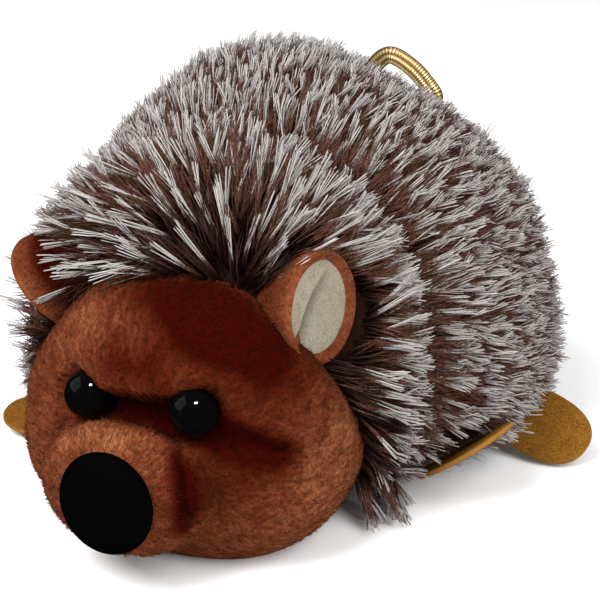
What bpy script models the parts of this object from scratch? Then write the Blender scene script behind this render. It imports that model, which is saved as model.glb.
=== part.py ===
"""Plush toy hedgehog lying on its belly.

The nose points to -Y, the toy's own left side is +X and the floor is z = 0. The origin is
the middle of the bounding box's underside. The furry solids reach out to the tips of their
pile, and pieces that touch keep a small gap.
"""

import math

import bmesh
import bpy
import numpy as np
from mathutils import Matrix, Vector

GAP = 0.0003  # air between two pieces that touch
FLOOR_CLEARANCE = 0.0008  # how far the hanging pile stops above the floor

# Body: a dome of long pile, fullest low down and a little behind its middle.
BODY_CENTRE = Vector((0.0, 0.0228, 0.0215))
BODY_HALF_WIDTH = 0.0640
BODY_FRONT = 0.0660
BODY_REAR = 0.0604
BODY_RISE = 0.0750
BODY_DROP = 0.0215
BODY_POWERS = (2.3, 1.92, 4.0)  # from above, of the upper half and of the lower half
BODY_GRID = (36, 22)  # segments around and rings from pole to pole

# Head: a hood of long pile with a short-pile face let into its front.
HOOD_CENTRE = Vector((0.0, -0.0260, 0.0375))
HOOD_HALF_WIDTH = 0.0480
HOOD_FRONT = 0.0330
HOOD_REAR = 0.0330
HOOD_RISE = 0.0495
HOOD_DROP = 0.0390
HOOD_POWERS = (2.1, 2.1, 3.1)
HOOD_GRID = (30, 16)
NECK_PLANE_Y = -0.0080  # the hood stops here, inside the body

FACE_CENTRE = Vector((-0.0008, -0.0365, 0.0270))
FACE_HALF_WIDTH = 0.0385
FACE_FRONT = 0.0305
FACE_REAR = 0.0260
FACE_RISE = 0.0315
FACE_DROP = 0.0335  # more than its height: the chin is pressed flat on the floor
FACE_POWERS = (2.5, 2.2, 2.4)
FACE_GRID = (30, 16)
FACE_BACK_Y = -0.0240  # the face stops here, inside the hood

MUZZLE_CENTRE = Vector((-0.0005, -0.0675, 0.0212))
MUZZLE_HALF_SIZE = Vector((0.0182, 0.0145, 0.0162))
MUZZLE_GRID = (22, 12)
NOSE_CENTRE = Vector((0.0, -0.0788, 0.0228))
NOSE_HALF_SIZE = Vector((0.0104, 0.0044, 0.0112))
NOSE_GRID = (20, 12)
EYE_CENTRE = Vector((0.0122, -0.0628, 0.0390))
EYE_RADIUS = 0.0047
EYE_GRID = (16, 10)

# Ears: cups of short pile that open outwards, with a cream lining.
EAR_HALF_SIZE = Vector((0.0108, 0.0085, 0.0122))
EAR_TURN = math.radians(62.0)
EAR_LEAN = math.radians(9.0)
EAR_CENTRES = {"left": Vector((0.0288, -0.0435, 0.0578)), "right": Vector((-0.0322, -0.0435, 0.0540))}
BOWL_HALF_SIZE = Vector((0.0074, 0.0056, 0.0090))
BOWL_CENTRE = Vector((0.0, -0.0062, 0.0012))
BOWL_MOUTH = 0.0042  # how far the lining reaches out of the ear's middle
EAR_GRID = (16, 12)
LINING_THICKNESS = 0.0012

# Feet: felt paddles sewn in at the belly seam.
FELT_THICKNESS = 0.0016
PADDLE_LENGTH = 0.0255
PADDLE_HALF_WIDTH = 0.0088
PADDLE_END_STEPS = 12

# Belly: a short-pile panel that carries the toy.
BELLY_CENTRE_Y = 0.0290
BELLY_HALF_WIDTH = 0.0400
BELLY_HALF_LENGTH = 0.0355
BELLY_THICKNESS = 0.0050
BELLY_EDGE = 0.0015
BELLY_EDGE_STEPS = 2
BELLY_SIDES = 36

# Hang loop: a flat ribbon whose ends are sewn into the seam along the back.
LOOP_HALF_WIDTH = 0.00165
LOOP_THICKNESS = 0.0013
LOOP_STEPS = 4  # sections between two corners of its route
LOOP_ROUTE = (
    Vector((0.0026, 0.0608, 0.0730)),
    Vector((0.0036, 0.0610, 0.0805)),
    Vector((0.0082, 0.0612, 0.0850)),
    Vector((0.0140, 0.0614, 0.0826)),
    Vector((0.0184, 0.0616, 0.0784)),
    Vector((0.0206, 0.0616, 0.0748)),
    Vector((0.0172, 0.0616, 0.0718)),
)


def clear_scene():
    for old in list(bpy.data.objects):
        bpy.data.objects.remove(old, do_unlink=True)


def new_material(name, colour, roughness, metallic=0.0):
    made = bpy.data.materials.new(name)
    made.use_nodes = True
    shader = made.node_tree.nodes["Principled BSDF"]
    shader.inputs["Base Color"].default_value = (*colour, 1.0)
    shader.inputs["Roughness"].default_value = roughness
    shader.inputs["Metallic"].default_value = metallic
    return made


class Workshop:
    """Links the toy's parts and their cutters into a collection each."""

    def __init__(self, name):
        self.parts = bpy.data.collections.new(name)
        self.cutters = bpy.data.collections.new(name + "_cutters")
        self.cutters.hide_render = True
        for made in (self.parts, self.cutters):
            bpy.context.scene.collection.children.link(made)

    def part(self, name, mesh, finish):
        mesh.name = name
        mesh.materials.append(finish)
        mesh.shade_smooth()
        mesh.set_sharp_from_angle(angle=math.radians(40.0))
        made = bpy.data.objects.new(name, mesh)
        self.parts.objects.link(made)
        return made

    def cutter(self, name, mesh):
        made = bpy.data.objects.new("cut_" + name, mesh)
        made.hide_render = True
        made.display_type = "WIRE"
        self.cutters.objects.link(made)
        return made

    def cut(self, part, cutter):
        boolean = part.modifiers.new(cutter.name, "BOOLEAN")
        boolean.operation = "DIFFERENCE"
        boolean.solver = "EXACT"
        boolean.object = cutter


def ovoid(low, high, centre, powers, grid):
    """A UV sphere warped to reach from low to high, measured from its centre.

    powers are those of its outline from above and of its upper and lower halves from the
    side: 2 gives an ellipse and more gives a boxier curve.
    """
    segments, rings = grid
    mesh = bpy.data.meshes.new("ovoid")
    shape = bmesh.new()
    bmesh.ops.create_uvsphere(shape, u_segments=segments, v_segments=rings, radius=1.0)
    shape.to_mesh(mesh)
    shape.free()
    points = np.empty(len(mesh.vertices) * 3)
    mesh.vertices.foreach_get("co", points)
    points = points.reshape(-1, 3)
    plan_power, upper_power, lower_power = powers
    size = np.abs(points)
    plan = (size[:, 0] ** plan_power + size[:, 1] ** plan_power) ** (1.0 / plan_power)
    power = np.where(points[:, 2] > 0.0, upper_power, lower_power)
    points /= ((plan**power + size[:, 2] ** power) ** (1.0 / power))[:, None]
    points *= np.where(points < 0.0, -np.array(low), np.array(high))
    mesh.vertices.foreach_set("co", (points + np.array(centre)).ravel())
    return mesh


def ellipsoid(half_size, centre, grid, swell=0.0):
    half = np.array(half_size) + swell
    return ovoid(-half, half, centre, (2.0, 2.0, 2.0), grid)


def trim(mesh, point, keep):
    """Cuts the mesh along a plane, keeps the side that keep points to and caps it flat."""
    shape = bmesh.new()
    shape.from_mesh(mesh)
    everything = shape.verts[:] + shape.edges[:] + shape.faces[:]
    cut = bmesh.ops.bisect_plane(shape, geom=everything, plane_co=point, plane_no=keep, clear_inner=True)
    rim = [item for item in cut["geom_cut"] if isinstance(item, bmesh.types.BMEdge)]
    bmesh.ops.edgenet_fill(shape, edges=rim)
    bmesh.ops.recalc_face_normals(shape, faces=shape.faces[:])
    shape.to_mesh(mesh)
    shape.free()
    return mesh


def above(mesh, height):
    return trim(mesh, (0.0, 0.0, height), (0.0, 0.0, 1.0))


def in_front_of(mesh, y):
    return trim(mesh, (0.0, y, 0.0), (0.0, -1.0, 0.0))


def placed(mesh, matrix):
    mesh.transform(matrix)
    return mesh


def body_mesh():
    low = (-BODY_HALF_WIDTH, -BODY_FRONT, -BODY_DROP)
    high = (BODY_HALF_WIDTH, BODY_REAR, BODY_RISE)
    return above(ovoid(low, high, BODY_CENTRE, BODY_POWERS, BODY_GRID), FLOOR_CLEARANCE)


def hood_mesh(swell=0.0):
    low = (-HOOD_HALF_WIDTH - swell, -HOOD_FRONT - swell, -HOOD_DROP - swell)
    high = (HOOD_HALF_WIDTH + swell, HOOD_REAR, HOOD_RISE + swell)
    mesh = above(ovoid(low, high, HOOD_CENTRE, HOOD_POWERS, HOOD_GRID), FLOOR_CLEARANCE - swell)
    return in_front_of(mesh, NECK_PLANE_Y + swell)


def face_mesh(swell=0.0):
    low = (-FACE_HALF_WIDTH - swell, -FACE_FRONT - swell, -FACE_DROP - swell)
    high = (FACE_HALF_WIDTH + swell, FACE_REAR, FACE_RISE + swell)
    mesh = above(ovoid(low, high, FACE_CENTRE, FACE_POWERS, FACE_GRID), -swell)
    return in_front_of(mesh, FACE_BACK_Y + swell)


def ear_frame(side):
    """The ear's own axes: -Y looks out of its cup and +Z runs up to its tip."""
    sign = 1.0 if side == "left" else -1.0
    turn = Matrix.Rotation(sign * EAR_TURN, 4, "Z")
    lean = Matrix.Rotation(sign * EAR_LEAN, 4, "Y")
    return Matrix.Translation(EAR_CENTRES[side]) @ lean @ turn


def ear_mesh(side, swell=0.0):
    return placed(ellipsoid(EAR_HALF_SIZE, (0.0, 0.0, 0.0), EAR_GRID, swell), ear_frame(side))


def ear_bowl(raised=0.0, swell=0.0):
    """The rounded hollow of the ear's cup in the ear's own axes, raised out of it a little."""
    centre = BOWL_CENTRE - Vector((0.0, raised, 0.0))
    return ellipsoid(BOWL_HALF_SIZE, centre, EAR_GRID, swell)


def paddle(swell=0.0):
    """A felt paddle along +X from the origin: straight sides and a half-round end."""
    half = PADDLE_HALF_WIDTH + swell
    thick = FELT_THICKNESS / 2.0 + swell
    straight = PADDLE_LENGTH - PADDLE_HALF_WIDTH
    turns = [math.pi * (step / PADDLE_END_STEPS - 0.5) for step in range(PADDLE_END_STEPS + 1)]
    outline = [(straight + half * math.cos(turn), half * math.sin(turn)) for turn in turns]
    outline += [(-swell, half), (-swell, -half)]
    mesh = bpy.data.meshes.new("paddle")
    shape = bmesh.new()
    base = shape.faces.new([shape.verts.new((x, y, -thick)) for x, y in outline])
    grown = bmesh.ops.extrude_face_region(shape, geom=[base])
    top = [item for item in grown["geom"] if isinstance(item, bmesh.types.BMVert)]
    bmesh.ops.translate(shape, verts=top, vec=(0.0, 0.0, 2.0 * thick))
    bmesh.ops.recalc_face_normals(shape, faces=shape.faces[:])
    shape.to_mesh(mesh)
    shape.free()
    return mesh


def foot_frame(root, along, facing):
    """A foot's axes: X runs from its root to its tip and Z stands on its upper face."""
    x_axis = Vector(along).normalized()
    y_axis = Vector(facing).cross(x_axis).normalized()
    z_axis = x_axis.cross(y_axis)
    turned = Matrix((x_axis, y_axis, z_axis)).transposed().to_4x4()
    return Matrix.Translation(root) @ turned


FOOT_FRAMES = {
    "front_left": foot_frame((0.0430, -0.0094, 0.0050), (0.80, 0.10, 0.59), (-0.575, 0.035, 0.817)),
    "front_right": foot_frame((-0.0400, -0.0110, 0.0036), (-1.0, -0.05, 0.0), (-0.05, -0.14, 0.97)),
    "rear_left": foot_frame((0.0509, 0.0257, 0.0112), (0.934, -0.221, -0.281), (0.09, -0.61, 0.787)),
    "rear_right": foot_frame((-0.0509, 0.0257, 0.0112), (-0.934, -0.221, -0.281), (-0.09, -0.61, 0.787)),
}


def belly_mesh(swell=0.0):
    """An oval pad from an extruded circle stretched to the panel's outline."""
    mesh = bpy.data.meshes.new("belly")
    shape = bmesh.new()
    depth = BELLY_THICKNESS + 2.0 * swell
    bmesh.ops.create_cone(
        shape, cap_ends=True, segments=BELLY_SIDES, radius1=1.0, radius2=1.0, depth=depth
    )
    spread = (BELLY_HALF_WIDTH + swell, BELLY_HALF_LENGTH + swell, 1.0)
    bmesh.ops.scale(shape, verts=shape.verts[:], vec=spread)
    bmesh.ops.translate(shape, verts=shape.verts[:], vec=(0.0, BELLY_CENTRE_Y, BELLY_THICKNESS / 2.0))
    shape.to_mesh(mesh)
    shape.free()
    return mesh


def smooth_route(corners, steps):
    """Points on a Catmull-Rom curve through the corners, steps of them from each to the next."""
    ends = [2.0 * corners[0] - corners[1], *corners, 2.0 * corners[-1] - corners[-2]]
    route = []
    for before, start, end, after in zip(ends, ends[1:], ends[2:], ends[3:]):
        for step in range(steps):
            t = step / steps
            bend = 2.0 * before - 5.0 * start + 4.0 * end - after
            twist = 3.0 * start - before - 3.0 * end + after
            route.append(start + 0.5 * t * ((end - before) + t * bend + t * t * twist))
    return route + [corners[-1]]


def ribbon_mesh(swell=0.0):
    """The hang loop: a flat section carried along its route, its width square to the arch."""
    route = smooth_route(LOOP_ROUTE, LOOP_STEPS)
    across = (LOOP_ROUTE[-1] - LOOP_ROUTE[0]).cross(Vector((0.0, 0.0, 1.0))).normalized()
    half = LOOP_HALF_WIDTH + swell
    thick = LOOP_THICKNESS / 2.0 + swell
    mesh = bpy.data.meshes.new("ribbon")
    shape = bmesh.new()
    rings = []
    for index, point in enumerate(route):
        forward = route[min(index + 1, len(route) - 1)] - route[max(index - 1, 0)]
        lift = forward.cross(across).normalized()
        corners = ((half, thick), (-half, thick), (-half, -thick), (half, -thick))
        rings.append([shape.verts.new(point + across * wide + lift * high) for wide, high in corners])
    for near, far in zip(rings, rings[1:]):
        for index in range(4):
            after = (index + 1) % 4
            shape.faces.new((near[index], near[after], far[after], far[index]))
    shape.faces.new(rings[0])
    shape.faces.new(rings[-1])
    bmesh.ops.recalc_face_normals(shape, faces=shape.faces[:])
    shape.to_mesh(mesh)
    shape.free()
    return mesh


def build_head(shop, long_pile, short_pile, flock, bead, cream):
    """The hood, face, muzzle, nose, eyes and ears; returns what the body is cut by."""
    hood = shop.part("head", hood_mesh(), long_pile)
    face = shop.part("face", face_mesh(), short_pile)
    muzzle = shop.part("muzzle", ellipsoid(MUZZLE_HALF_SIZE, MUZZLE_CENTRE, MUZZLE_GRID), short_pile)
    shop.part("nose", ellipsoid(NOSE_HALF_SIZE, NOSE_CENTRE, NOSE_GRID), flock)

    face_cut = shop.cutter("face", face_mesh(GAP))
    shop.cut(hood, face_cut)
    muzzle_cut = shop.cutter("muzzle", ellipsoid(MUZZLE_HALF_SIZE, MUZZLE_CENTRE, MUZZLE_GRID, GAP))
    shop.cut(face, muzzle_cut)
    nose_cut = shop.cutter("nose", ellipsoid(NOSE_HALF_SIZE, NOSE_CENTRE, NOSE_GRID, GAP))
    shop.cut(muzzle, nose_cut)

    for side, sign in (("left", 1.0), ("right", -1.0)):
        centre = Vector((sign * EYE_CENTRE.x, EYE_CENTRE.y, EYE_CENTRE.z))
        eye_half = (EYE_RADIUS,) * 3
        shop.part("eye_" + side, ellipsoid(eye_half, centre, EYE_GRID), bead)
        eye_cut = shop.cutter("eye_" + side, ellipsoid(eye_half, centre, EYE_GRID, GAP))
        shop.cut(face, eye_cut)

        ear = shop.part("ear_" + side, ear_mesh(side), short_pile)
        shop.cut(ear, shop.cutter("ear_bowl_" + side, placed(ear_bowl(), ear_frame(side))))
        ear_cut = shop.cutter("ear_" + side, ear_mesh(side, GAP))
        shop.cut(hood, ear_cut)
        shop.cut(face, ear_cut)
        dish = trim(ear_bowl(swell=-GAP), (0.0, -BOWL_MOUTH, 0.0), (0.0, 1.0, 0.0))
        lining = shop.part("ear_lining_" + side, placed(dish, ear_frame(side)), cream)
        air = placed(ear_bowl(LINING_THICKNESS, -GAP), ear_frame(side))
        shop.cut(lining, shop.cutter("lining_air_" + side, air))
    return [shop.cutter("head", hood_mesh(GAP)), face_cut]


def build_body(shop, head_cuts, long_pile, short_pile, felt, gold):
    """The body's dome of pile, its belly panel, the four feet and the hang loop."""
    body = shop.part("body", body_mesh(), long_pile)
    for head_cut in head_cuts:
        shop.cut(body, head_cut)

    belly = shop.part("belly", belly_mesh(), short_pile)
    edge = belly.modifiers.new("edge", "BEVEL")
    edge.width = BELLY_EDGE
    edge.segments = BELLY_EDGE_STEPS
    shop.cut(body, shop.cutter("belly", belly_mesh(GAP)))

    for name, frame in FOOT_FRAMES.items():
        shop.part("foot_" + name, placed(paddle(), frame), felt)
        foot_cut = shop.cutter("foot_" + name, placed(paddle(GAP), frame))
        shop.cut(body, foot_cut)

    shop.part("hang_loop", ribbon_mesh(), gold)
    shop.cut(body, shop.cutter("hang_loop", ribbon_mesh(GAP)))


def build():
    clear_scene()
    shop = Workshop("plush_hedgehog")
    long_pile = new_material("long_pile", (0.27, 0.21, 0.19), 0.9)
    short_pile = new_material("short_pile", (0.22, 0.07, 0.025), 0.85)
    flock = new_material("flocked_nose", (0.004, 0.004, 0.004), 0.95)
    bead = new_material("eye_bead", (0.003, 0.003, 0.003), 0.08)
    cream = new_material("cream_plush", (0.42, 0.37, 0.29), 0.9)
    felt = new_material("tan_felt", (0.27, 0.11, 0.02), 0.95)
    gold = new_material("gold_ribbon", (0.28, 0.2, 0.08), 0.4, 0.6)
    head_cuts = build_head(shop, long_pile, short_pile, flock, bead, cream)
    build_body(shop, head_cuts, long_pile, short_pile, felt, gold)


build()
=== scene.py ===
"""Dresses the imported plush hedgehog: its skins, pile, trim, stage, lights and camera.

Metres, +Z up, floor at z = 0. The nose points to -Y and the toy's own left side is +X.
Every surface is a formula on a grid of two parameters, worked out as whole arrays. The furry
skin and the plush face are found along rays from a centre, where a blend of rounded forms
reaches zero. Pile is joined meshes of thin closed strands that grow from those skins.
"""

import logging
import math
from collections.abc import Callable, Iterator
from dataclasses import dataclass
from enum import Enum, IntEnum
from functools import cache

import bpy
import numpy as np
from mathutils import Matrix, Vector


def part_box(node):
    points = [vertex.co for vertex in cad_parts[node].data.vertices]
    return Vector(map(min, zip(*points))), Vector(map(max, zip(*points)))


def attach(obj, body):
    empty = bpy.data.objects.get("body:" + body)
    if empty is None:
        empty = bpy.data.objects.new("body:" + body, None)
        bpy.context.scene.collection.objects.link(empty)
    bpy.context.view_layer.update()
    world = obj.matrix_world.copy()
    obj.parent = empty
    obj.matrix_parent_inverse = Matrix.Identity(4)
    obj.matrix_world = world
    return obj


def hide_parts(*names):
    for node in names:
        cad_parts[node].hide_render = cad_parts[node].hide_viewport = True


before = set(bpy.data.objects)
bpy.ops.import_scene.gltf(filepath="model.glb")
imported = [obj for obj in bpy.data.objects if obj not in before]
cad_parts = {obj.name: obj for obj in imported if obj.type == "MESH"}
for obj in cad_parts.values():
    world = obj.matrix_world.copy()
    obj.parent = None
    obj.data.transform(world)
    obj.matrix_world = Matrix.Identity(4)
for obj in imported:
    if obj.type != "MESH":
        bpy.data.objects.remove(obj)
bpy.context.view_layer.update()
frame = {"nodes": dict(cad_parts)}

Array = np.ndarray
Pair = tuple[float, float]
Vec = tuple[float, float, float]
Colour = tuple[float, float, float]
Field = Callable[[Array], Array]
Rng = np.random.Generator
Piece = bpy.types.Object
Material = bpy.types.Material
Socket = bpy.types.NodeSocket

BODY = "root"
BAKE_MAP = "OFBake"
UP = np.array([0.0, 0.0, 1.0])
FLOOR_AIR = 0.0004  # least height of anything soft above the floor
TUFT_PATCH = 0.003  # width of a strand's patch on the bake map

log = logging.getLogger("hedgehog")


class Side(Enum):
    """The toy's own left and right, with the sign of X on that side."""

    LEFT = 1.0
    RIGHT = -1.0

    @property
    def word(self) -> str:
        """The side's name as the solids' names have it."""
        return self.name.lower()


class Slot(Enum):
    """The record's material slots."""

    LONG_PILE = "long_pile"
    SHORT_PILE = "short_pile"
    CREAM = "cream_plush"
    FLOCK = "flocked_nose"
    BEAD = "eye_bead"
    FELT = "tan_felt"
    RIBBON = "gold_ribbon"


class Seed(IntEnum):
    """Where each scatter starts its run of chance."""

    FROSTED_ROOTS = 5
    BROWN_ROOTS = 6
    FROSTED_LOCKS = 7
    BROWN_LOCKS = 8
    TUFT = 9
    FACE_NAP = 11
    STREAKS = 12
    LEFT_EAR_NAP = 21
    RIGHT_EAR_NAP = 22

    def chance(self) -> Rng:
        """A fresh source of chance."""
        return np.random.default_rng(int(self))


# ---------------------------------------------------------------- arithmetic on arrays


def unit(vectors: Array) -> Array:
    """Vectors scaled to length one along their last axis."""
    return vectors / np.maximum(np.linalg.norm(vectors, axis=-1, keepdims=True), 1e-12)


def ease(low: float, high: float, value: Array) -> Array:
    """Zero below low, one above high and 3t^2 - 2t^3 between them."""
    t = np.clip((value - low) / (high - low), 0.0, 1.0)
    return t * t * (3.0 - 2.0 * t)


def hill(places: Array, centre: tuple[float, ...], spread: float) -> Array:
    """A bump of height one at centre that falls as exp(-(distance / spread)^2)."""
    away = np.linalg.norm(places - np.array(centre), axis=-1)
    return np.exp(-((away / spread) ** 2))


@dataclass(frozen=True)
class Spot:
    """An amount at a centre that fades away from it."""

    centre: tuple[float, ...]
    amount: float
    spread: float


def spotted(places: Array, spots: tuple[Spot, ...]) -> Array:
    """The amounts of all spots, added up at each place."""
    return sum(spot.amount * hill(places, spot.centre, spot.spread) for spot in spots)


def tangent(vectors: Array, normals: Array) -> Array:
    """The part of each vector that lies in the plane square to its normal, at length one."""
    return unit(vectors - normals * np.sum(vectors * normals, axis=-1, keepdims=True))


def smooth_union(first: Array, second: Array, blend: float) -> Array:
    """The smaller of two distances, rounded over by a parabola where they differ by less than blend.

    Args:
        first: Distances to one form.
        second: Distances to the other.
        blend: Width of the rounding, in metres.

    Returns:
        Distances to the two forms as one soft body.
    """
    share = np.clip(0.5 + 0.5 * (second - first) / blend, 0.0, 1.0)
    return second * (1.0 - share) + first * share - blend * share * (1.0 - share)


def smooth_cut(body: Array, hole: Array, blend: float) -> Array:
    """Distances to body with hole taken out of it, its edge rounded over by blend."""
    return -smooth_union(-body, hole, blend)


def to_tube(points: Array, route: Array, radii: Array) -> Array:
    """Distance from each point to a tube along a chain of straight pieces.

    Along each piece the nearest place is start + t * step with t held between 0 and 1, and
    the tube's radius there lies between its corners' radii in the same share.

    Args:
        points: Points, shape (..., 3).
        route: The chain's corners, shape (n, 3).
        radii: The tube's radius at each corner.

    Returns:
        The least distance to the tube's skin, shape (...), negative inside it.
    """
    best = np.full(points.shape[:-1], np.inf)
    for start, end, first, last in zip(route[:-1], route[1:], radii[:-1], radii[1:]):
        step = end - start
        share = np.clip((points - start) @ step / (step @ step), 0.0, 1.0)
        away = points - start - share[..., None] * step
        best = np.minimum(best, np.linalg.norm(away, axis=-1) - first - (last - first) * share)
    return best


def trail(places: Array, corners: tuple[Vec, ...], spread: float) -> Array:
    """A ridge of height one along a chain of corners that falls as exp(-(distance / spread)^2).

    Args:
        places: Points, shape (..., 3).
        corners: The chain's corners, or one place.
        spread: The distance at which the height has fallen to 1/e.

    Returns:
        The height at each point.
    """
    if len(corners) == 1:
        return hill(places, corners[0], spread)
    away = to_tube(places, np.array(corners), np.zeros(len(corners)))
    return np.exp(-((away / spread) ** 2))


def smooth_route(corners: Array, steps: int) -> Array:
    """A Catmull-Rom curve through the corners: a cubic between each two, set by their neighbours.

    Args:
        corners: Points on the curve, shape (n, 3).
        steps: Points from each corner to the next.

    Returns:
        Points on the curve, shape (steps * (n - 1) + 1, 3).
    """
    ends = np.vstack([2.0 * corners[0] - corners[1], corners, 2.0 * corners[-1] - corners[-2]])
    t = (np.arange(steps) / steps)[None, :, None]
    before, start, end, after = (ends[i : len(ends) - 3 + i, None] for i in range(4))
    bend = 2.0 * before - 5.0 * start + 4.0 * end - after
    twist = 3.0 * start - before - 3.0 * end + after
    curve = start + 0.5 * t * ((end - before) + t * bend + t * t * twist)
    return np.vstack([curve.reshape(-1, 3), corners[-1]])


def axes(forward: Vec, facing: Vec) -> Array:
    """A matrix whose columns are X along forward, Z near facing and Y square to both.

    Args:
        forward: The way that X points.
        facing: A way that Z points nearly.

    Returns:
        The matrix, shape (3, 3).
    """
    x_axis = unit(np.array(forward))
    y_axis = unit(np.cross(np.array(facing), x_axis))
    return np.stack([x_axis, y_axis, np.cross(x_axis, y_axis)], axis=1)


def turned(degrees: float, axis: int) -> Array:
    """The rotation matrix for a turn about one axis.

    Args:
        degrees: The turn.
        axis: 0, 1 or 2 for X, Y or Z.

    Returns:
        The matrix, shape (3, 3).
    """
    angle = math.radians(degrees)
    c, s = math.cos(angle), math.sin(angle)
    made = np.eye(3)
    i, j = (axis + 1) % 3, (axis + 2) % 3
    made[i, i], made[i, j], made[j, i], made[j, j] = c, -s, s, c
    return made


def middle_and_half(node: str) -> tuple[Array, Array]:
    """The middle and the half-sizes of a solid's box."""
    low, high = (np.array(corner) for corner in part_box(node))
    return 0.5 * (low + high), 0.5 * (high - low)


# ---------------------------------------------------------------- forms and surfaces


@dataclass(frozen=True)
class Ovoid:
    """A rounded form with its own reach and squareness each way.

    A point's offset is divided by the reach on its side of each axis. Its plan is
    (|x|^p + |y|^p)^(1/p) and its size (plan^q + |z|^q)^(1/q), with one q above the centre
    and one below. The surface is where that size is one.
    """

    centre: Vec | Array
    low: Vec | Array
    high: Vec | Array
    plan_power: float = 2.0
    upper_power: float = 2.0
    lower_power: float = 2.0

    def shrunk(self, depth: float) -> "Ovoid":
        """The same form with its surface brought in by depth all round."""
        low, high = (tuple(value - depth for value in reach) for reach in (self.low, self.high))
        return Ovoid(self.centre, low, high, self.plan_power, self.upper_power, self.lower_power)

    def size(self, offsets: Array) -> Array:
        """How far out each offset from the centre lies.

        Args:
            offsets: Offsets, shape (..., 3).

        Returns:
            A size for each, shape (...), which is one on the surface.
        """
        scaled = np.abs(offsets) / np.where(offsets < 0.0, np.array(self.low), np.array(self.high))
        p = self.plan_power
        plan = (scaled[..., 0] ** p + scaled[..., 1] ** p) ** (1.0 / p)
        q = np.where(offsets[..., 2] > 0.0, self.upper_power, self.lower_power)
        return np.maximum((plan**q + scaled[..., 2] ** q) ** (1.0 / q), 1e-9)

    def distance(self, points: Array) -> Array:
        """Distance to the surface along the line to the centre, negative inside."""
        offsets = points - np.array(self.centre)
        return np.linalg.norm(offsets, axis=-1) * (1.0 - 1.0 / self.size(offsets))

    def grid(self, rows: int, columns: int) -> Array:
        """The surface on a grid of polar angle from +Z by turn about Z, both evenly spaced.

        Args:
            rows: Rings from pole to pole, both poles counted.
            columns: Points in each ring.

        Returns:
            Points, shape (rows, columns, 3).
        """
        rays = sphere_rays(rows, columns, pole=2)
        scaled = rays * np.where(rays < 0.0, np.array(self.low), np.array(self.high))
        return np.array(self.centre) + scaled / self.size(scaled)[..., None]


def sphere_rays(rows: int, columns: int, pole: int, crowd: float = 1.0) -> Array:
    """Unit rays on a grid: polar angle pi * t^crowd from the pole, by turn about it.

    Args:
        rows: Rings of rays from pole to pole, both poles counted.
        columns: Rays in each ring.
        pole: 2 for a first pole at +Z, 1 for a first pole at -Y.
        crowd: More than one draws the rings towards the first pole.

    Returns:
        Rays, shape (rows, columns, 3), turning so that faces built on them point outwards.
    """
    polar = (np.pi * np.linspace(0.0, 1.0, rows) ** crowd)[:, None]
    turn = (2.0 * np.pi * np.arange(columns) / columns)[None, :]
    ring = np.sin(polar)
    across, along = ring * np.cos(turn), ring * np.sin(turn)
    height = np.cos(polar) * np.ones_like(turn)
    if pole == 2:
        return np.stack([across, along, height], axis=-1)
    return np.stack([across, -height, along], axis=-1)


def cast(form: Field, centre: Vec | Array, rays: Array, reach: float, halvings: int = 24) -> Array:
    """Where rays from a centre leave a form, by halving the span that holds the crossing.

    Args:
        form: Distance to the form, negative inside.
        centre: A point that sees the whole surface, or one for each ray.
        rays: Unit rays, shape (..., 3).
        reach: A distance from the centre that is outside the form everywhere.
        halvings: How many times the span is halved.

    Returns:
        Points on the surface, of the rays' shape.
    """
    inside = np.zeros(rays.shape[:-1])
    outside = np.full(rays.shape[:-1], reach)
    for _ in range(halvings):
        middle = 0.5 * (inside + outside)
        is_out = form(np.array(centre) + rays * middle[..., None]) > 0.0
        outside = np.where(is_out, middle, outside)
        inside = np.where(is_out, inside, middle)
    return np.array(centre) + rays * (0.5 * (inside + outside))[..., None]


def slope(form: Field, points: Array, step: float = 0.0004) -> Array:
    """The form's outward normals, from its central differences over a small step."""
    parts = [form(points + step * axis) - form(points - step * axis) for axis in np.eye(3)]
    return unit(np.stack(parts, axis=-1))


def grid_normals(grid: Array) -> Array:
    """Normals of a closed grid, from the cross product of its differences down and around.

    Args:
        grid: Points from pole to pole, shape (rows, columns, 3).

    Returns:
        Unit normals, of the same shape.
    """
    down = np.gradient(grid, axis=0)
    around = np.roll(grid, -1, axis=1) - np.roll(grid, 1, axis=1)
    normals = unit(np.cross(down, around))
    for row, inner in ((0, 1), (-1, -2)):
        normals[row] = unit(normals[inner].mean(axis=0))
    return normals


# ---------------------------------------------------------------- meshes


def new_piece(name: str, points: Array, faces: Array) -> Piece:
    """A smooth-shaded object at the origin from arrays of points and equal-sided faces.

    Args:
        name: The piece's name.
        points: Corner points, shape (n, 3).
        faces: Corner numbers, shape (m, 3) or (m, 4).

    Returns:
        The new object, linked to the scene.
    """
    mesh = bpy.data.meshes.new(name)
    count, sides = faces.shape
    mesh.vertices.add(len(points))
    mesh.vertices.foreach_set("co", points.astype(np.float32).ravel())
    mesh.loops.add(count * sides)
    mesh.loops.foreach_set("vertex_index", faces.astype(np.int32).ravel())
    mesh.polygons.add(count)
    mesh.polygons.foreach_set("loop_start", (np.arange(count) * sides).astype(np.int32))
    mesh.update(calc_edges=True)
    mesh.shade_smooth()
    made = bpy.data.objects.new(name, mesh)
    bpy.context.scene.collection.objects.link(made)
    return made


def set_values(piece: Piece, name: str, values: Array) -> None:
    """Stores one number for each corner point under a name that a material can read."""
    made = piece.data.attributes.new(name, "FLOAT", "POINT")
    made.data.foreach_set("value", values.astype(np.float32).ravel())


def set_map(piece: Piece, name: str, places: Array) -> None:
    """Stores a UV map.

    Args:
        piece: The piece.
        name: The map's name.
        places: One (u, v) for each corner point.
    """
    mesh = piece.data
    order = np.empty(len(mesh.loops), dtype=np.int32)
    mesh.loops.foreach_get("vertex_index", order)
    layer = mesh.uv_layers.new(name=name)
    layer.data.foreach_set("uv", places[order].astype(np.float32).ravel())


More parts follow.
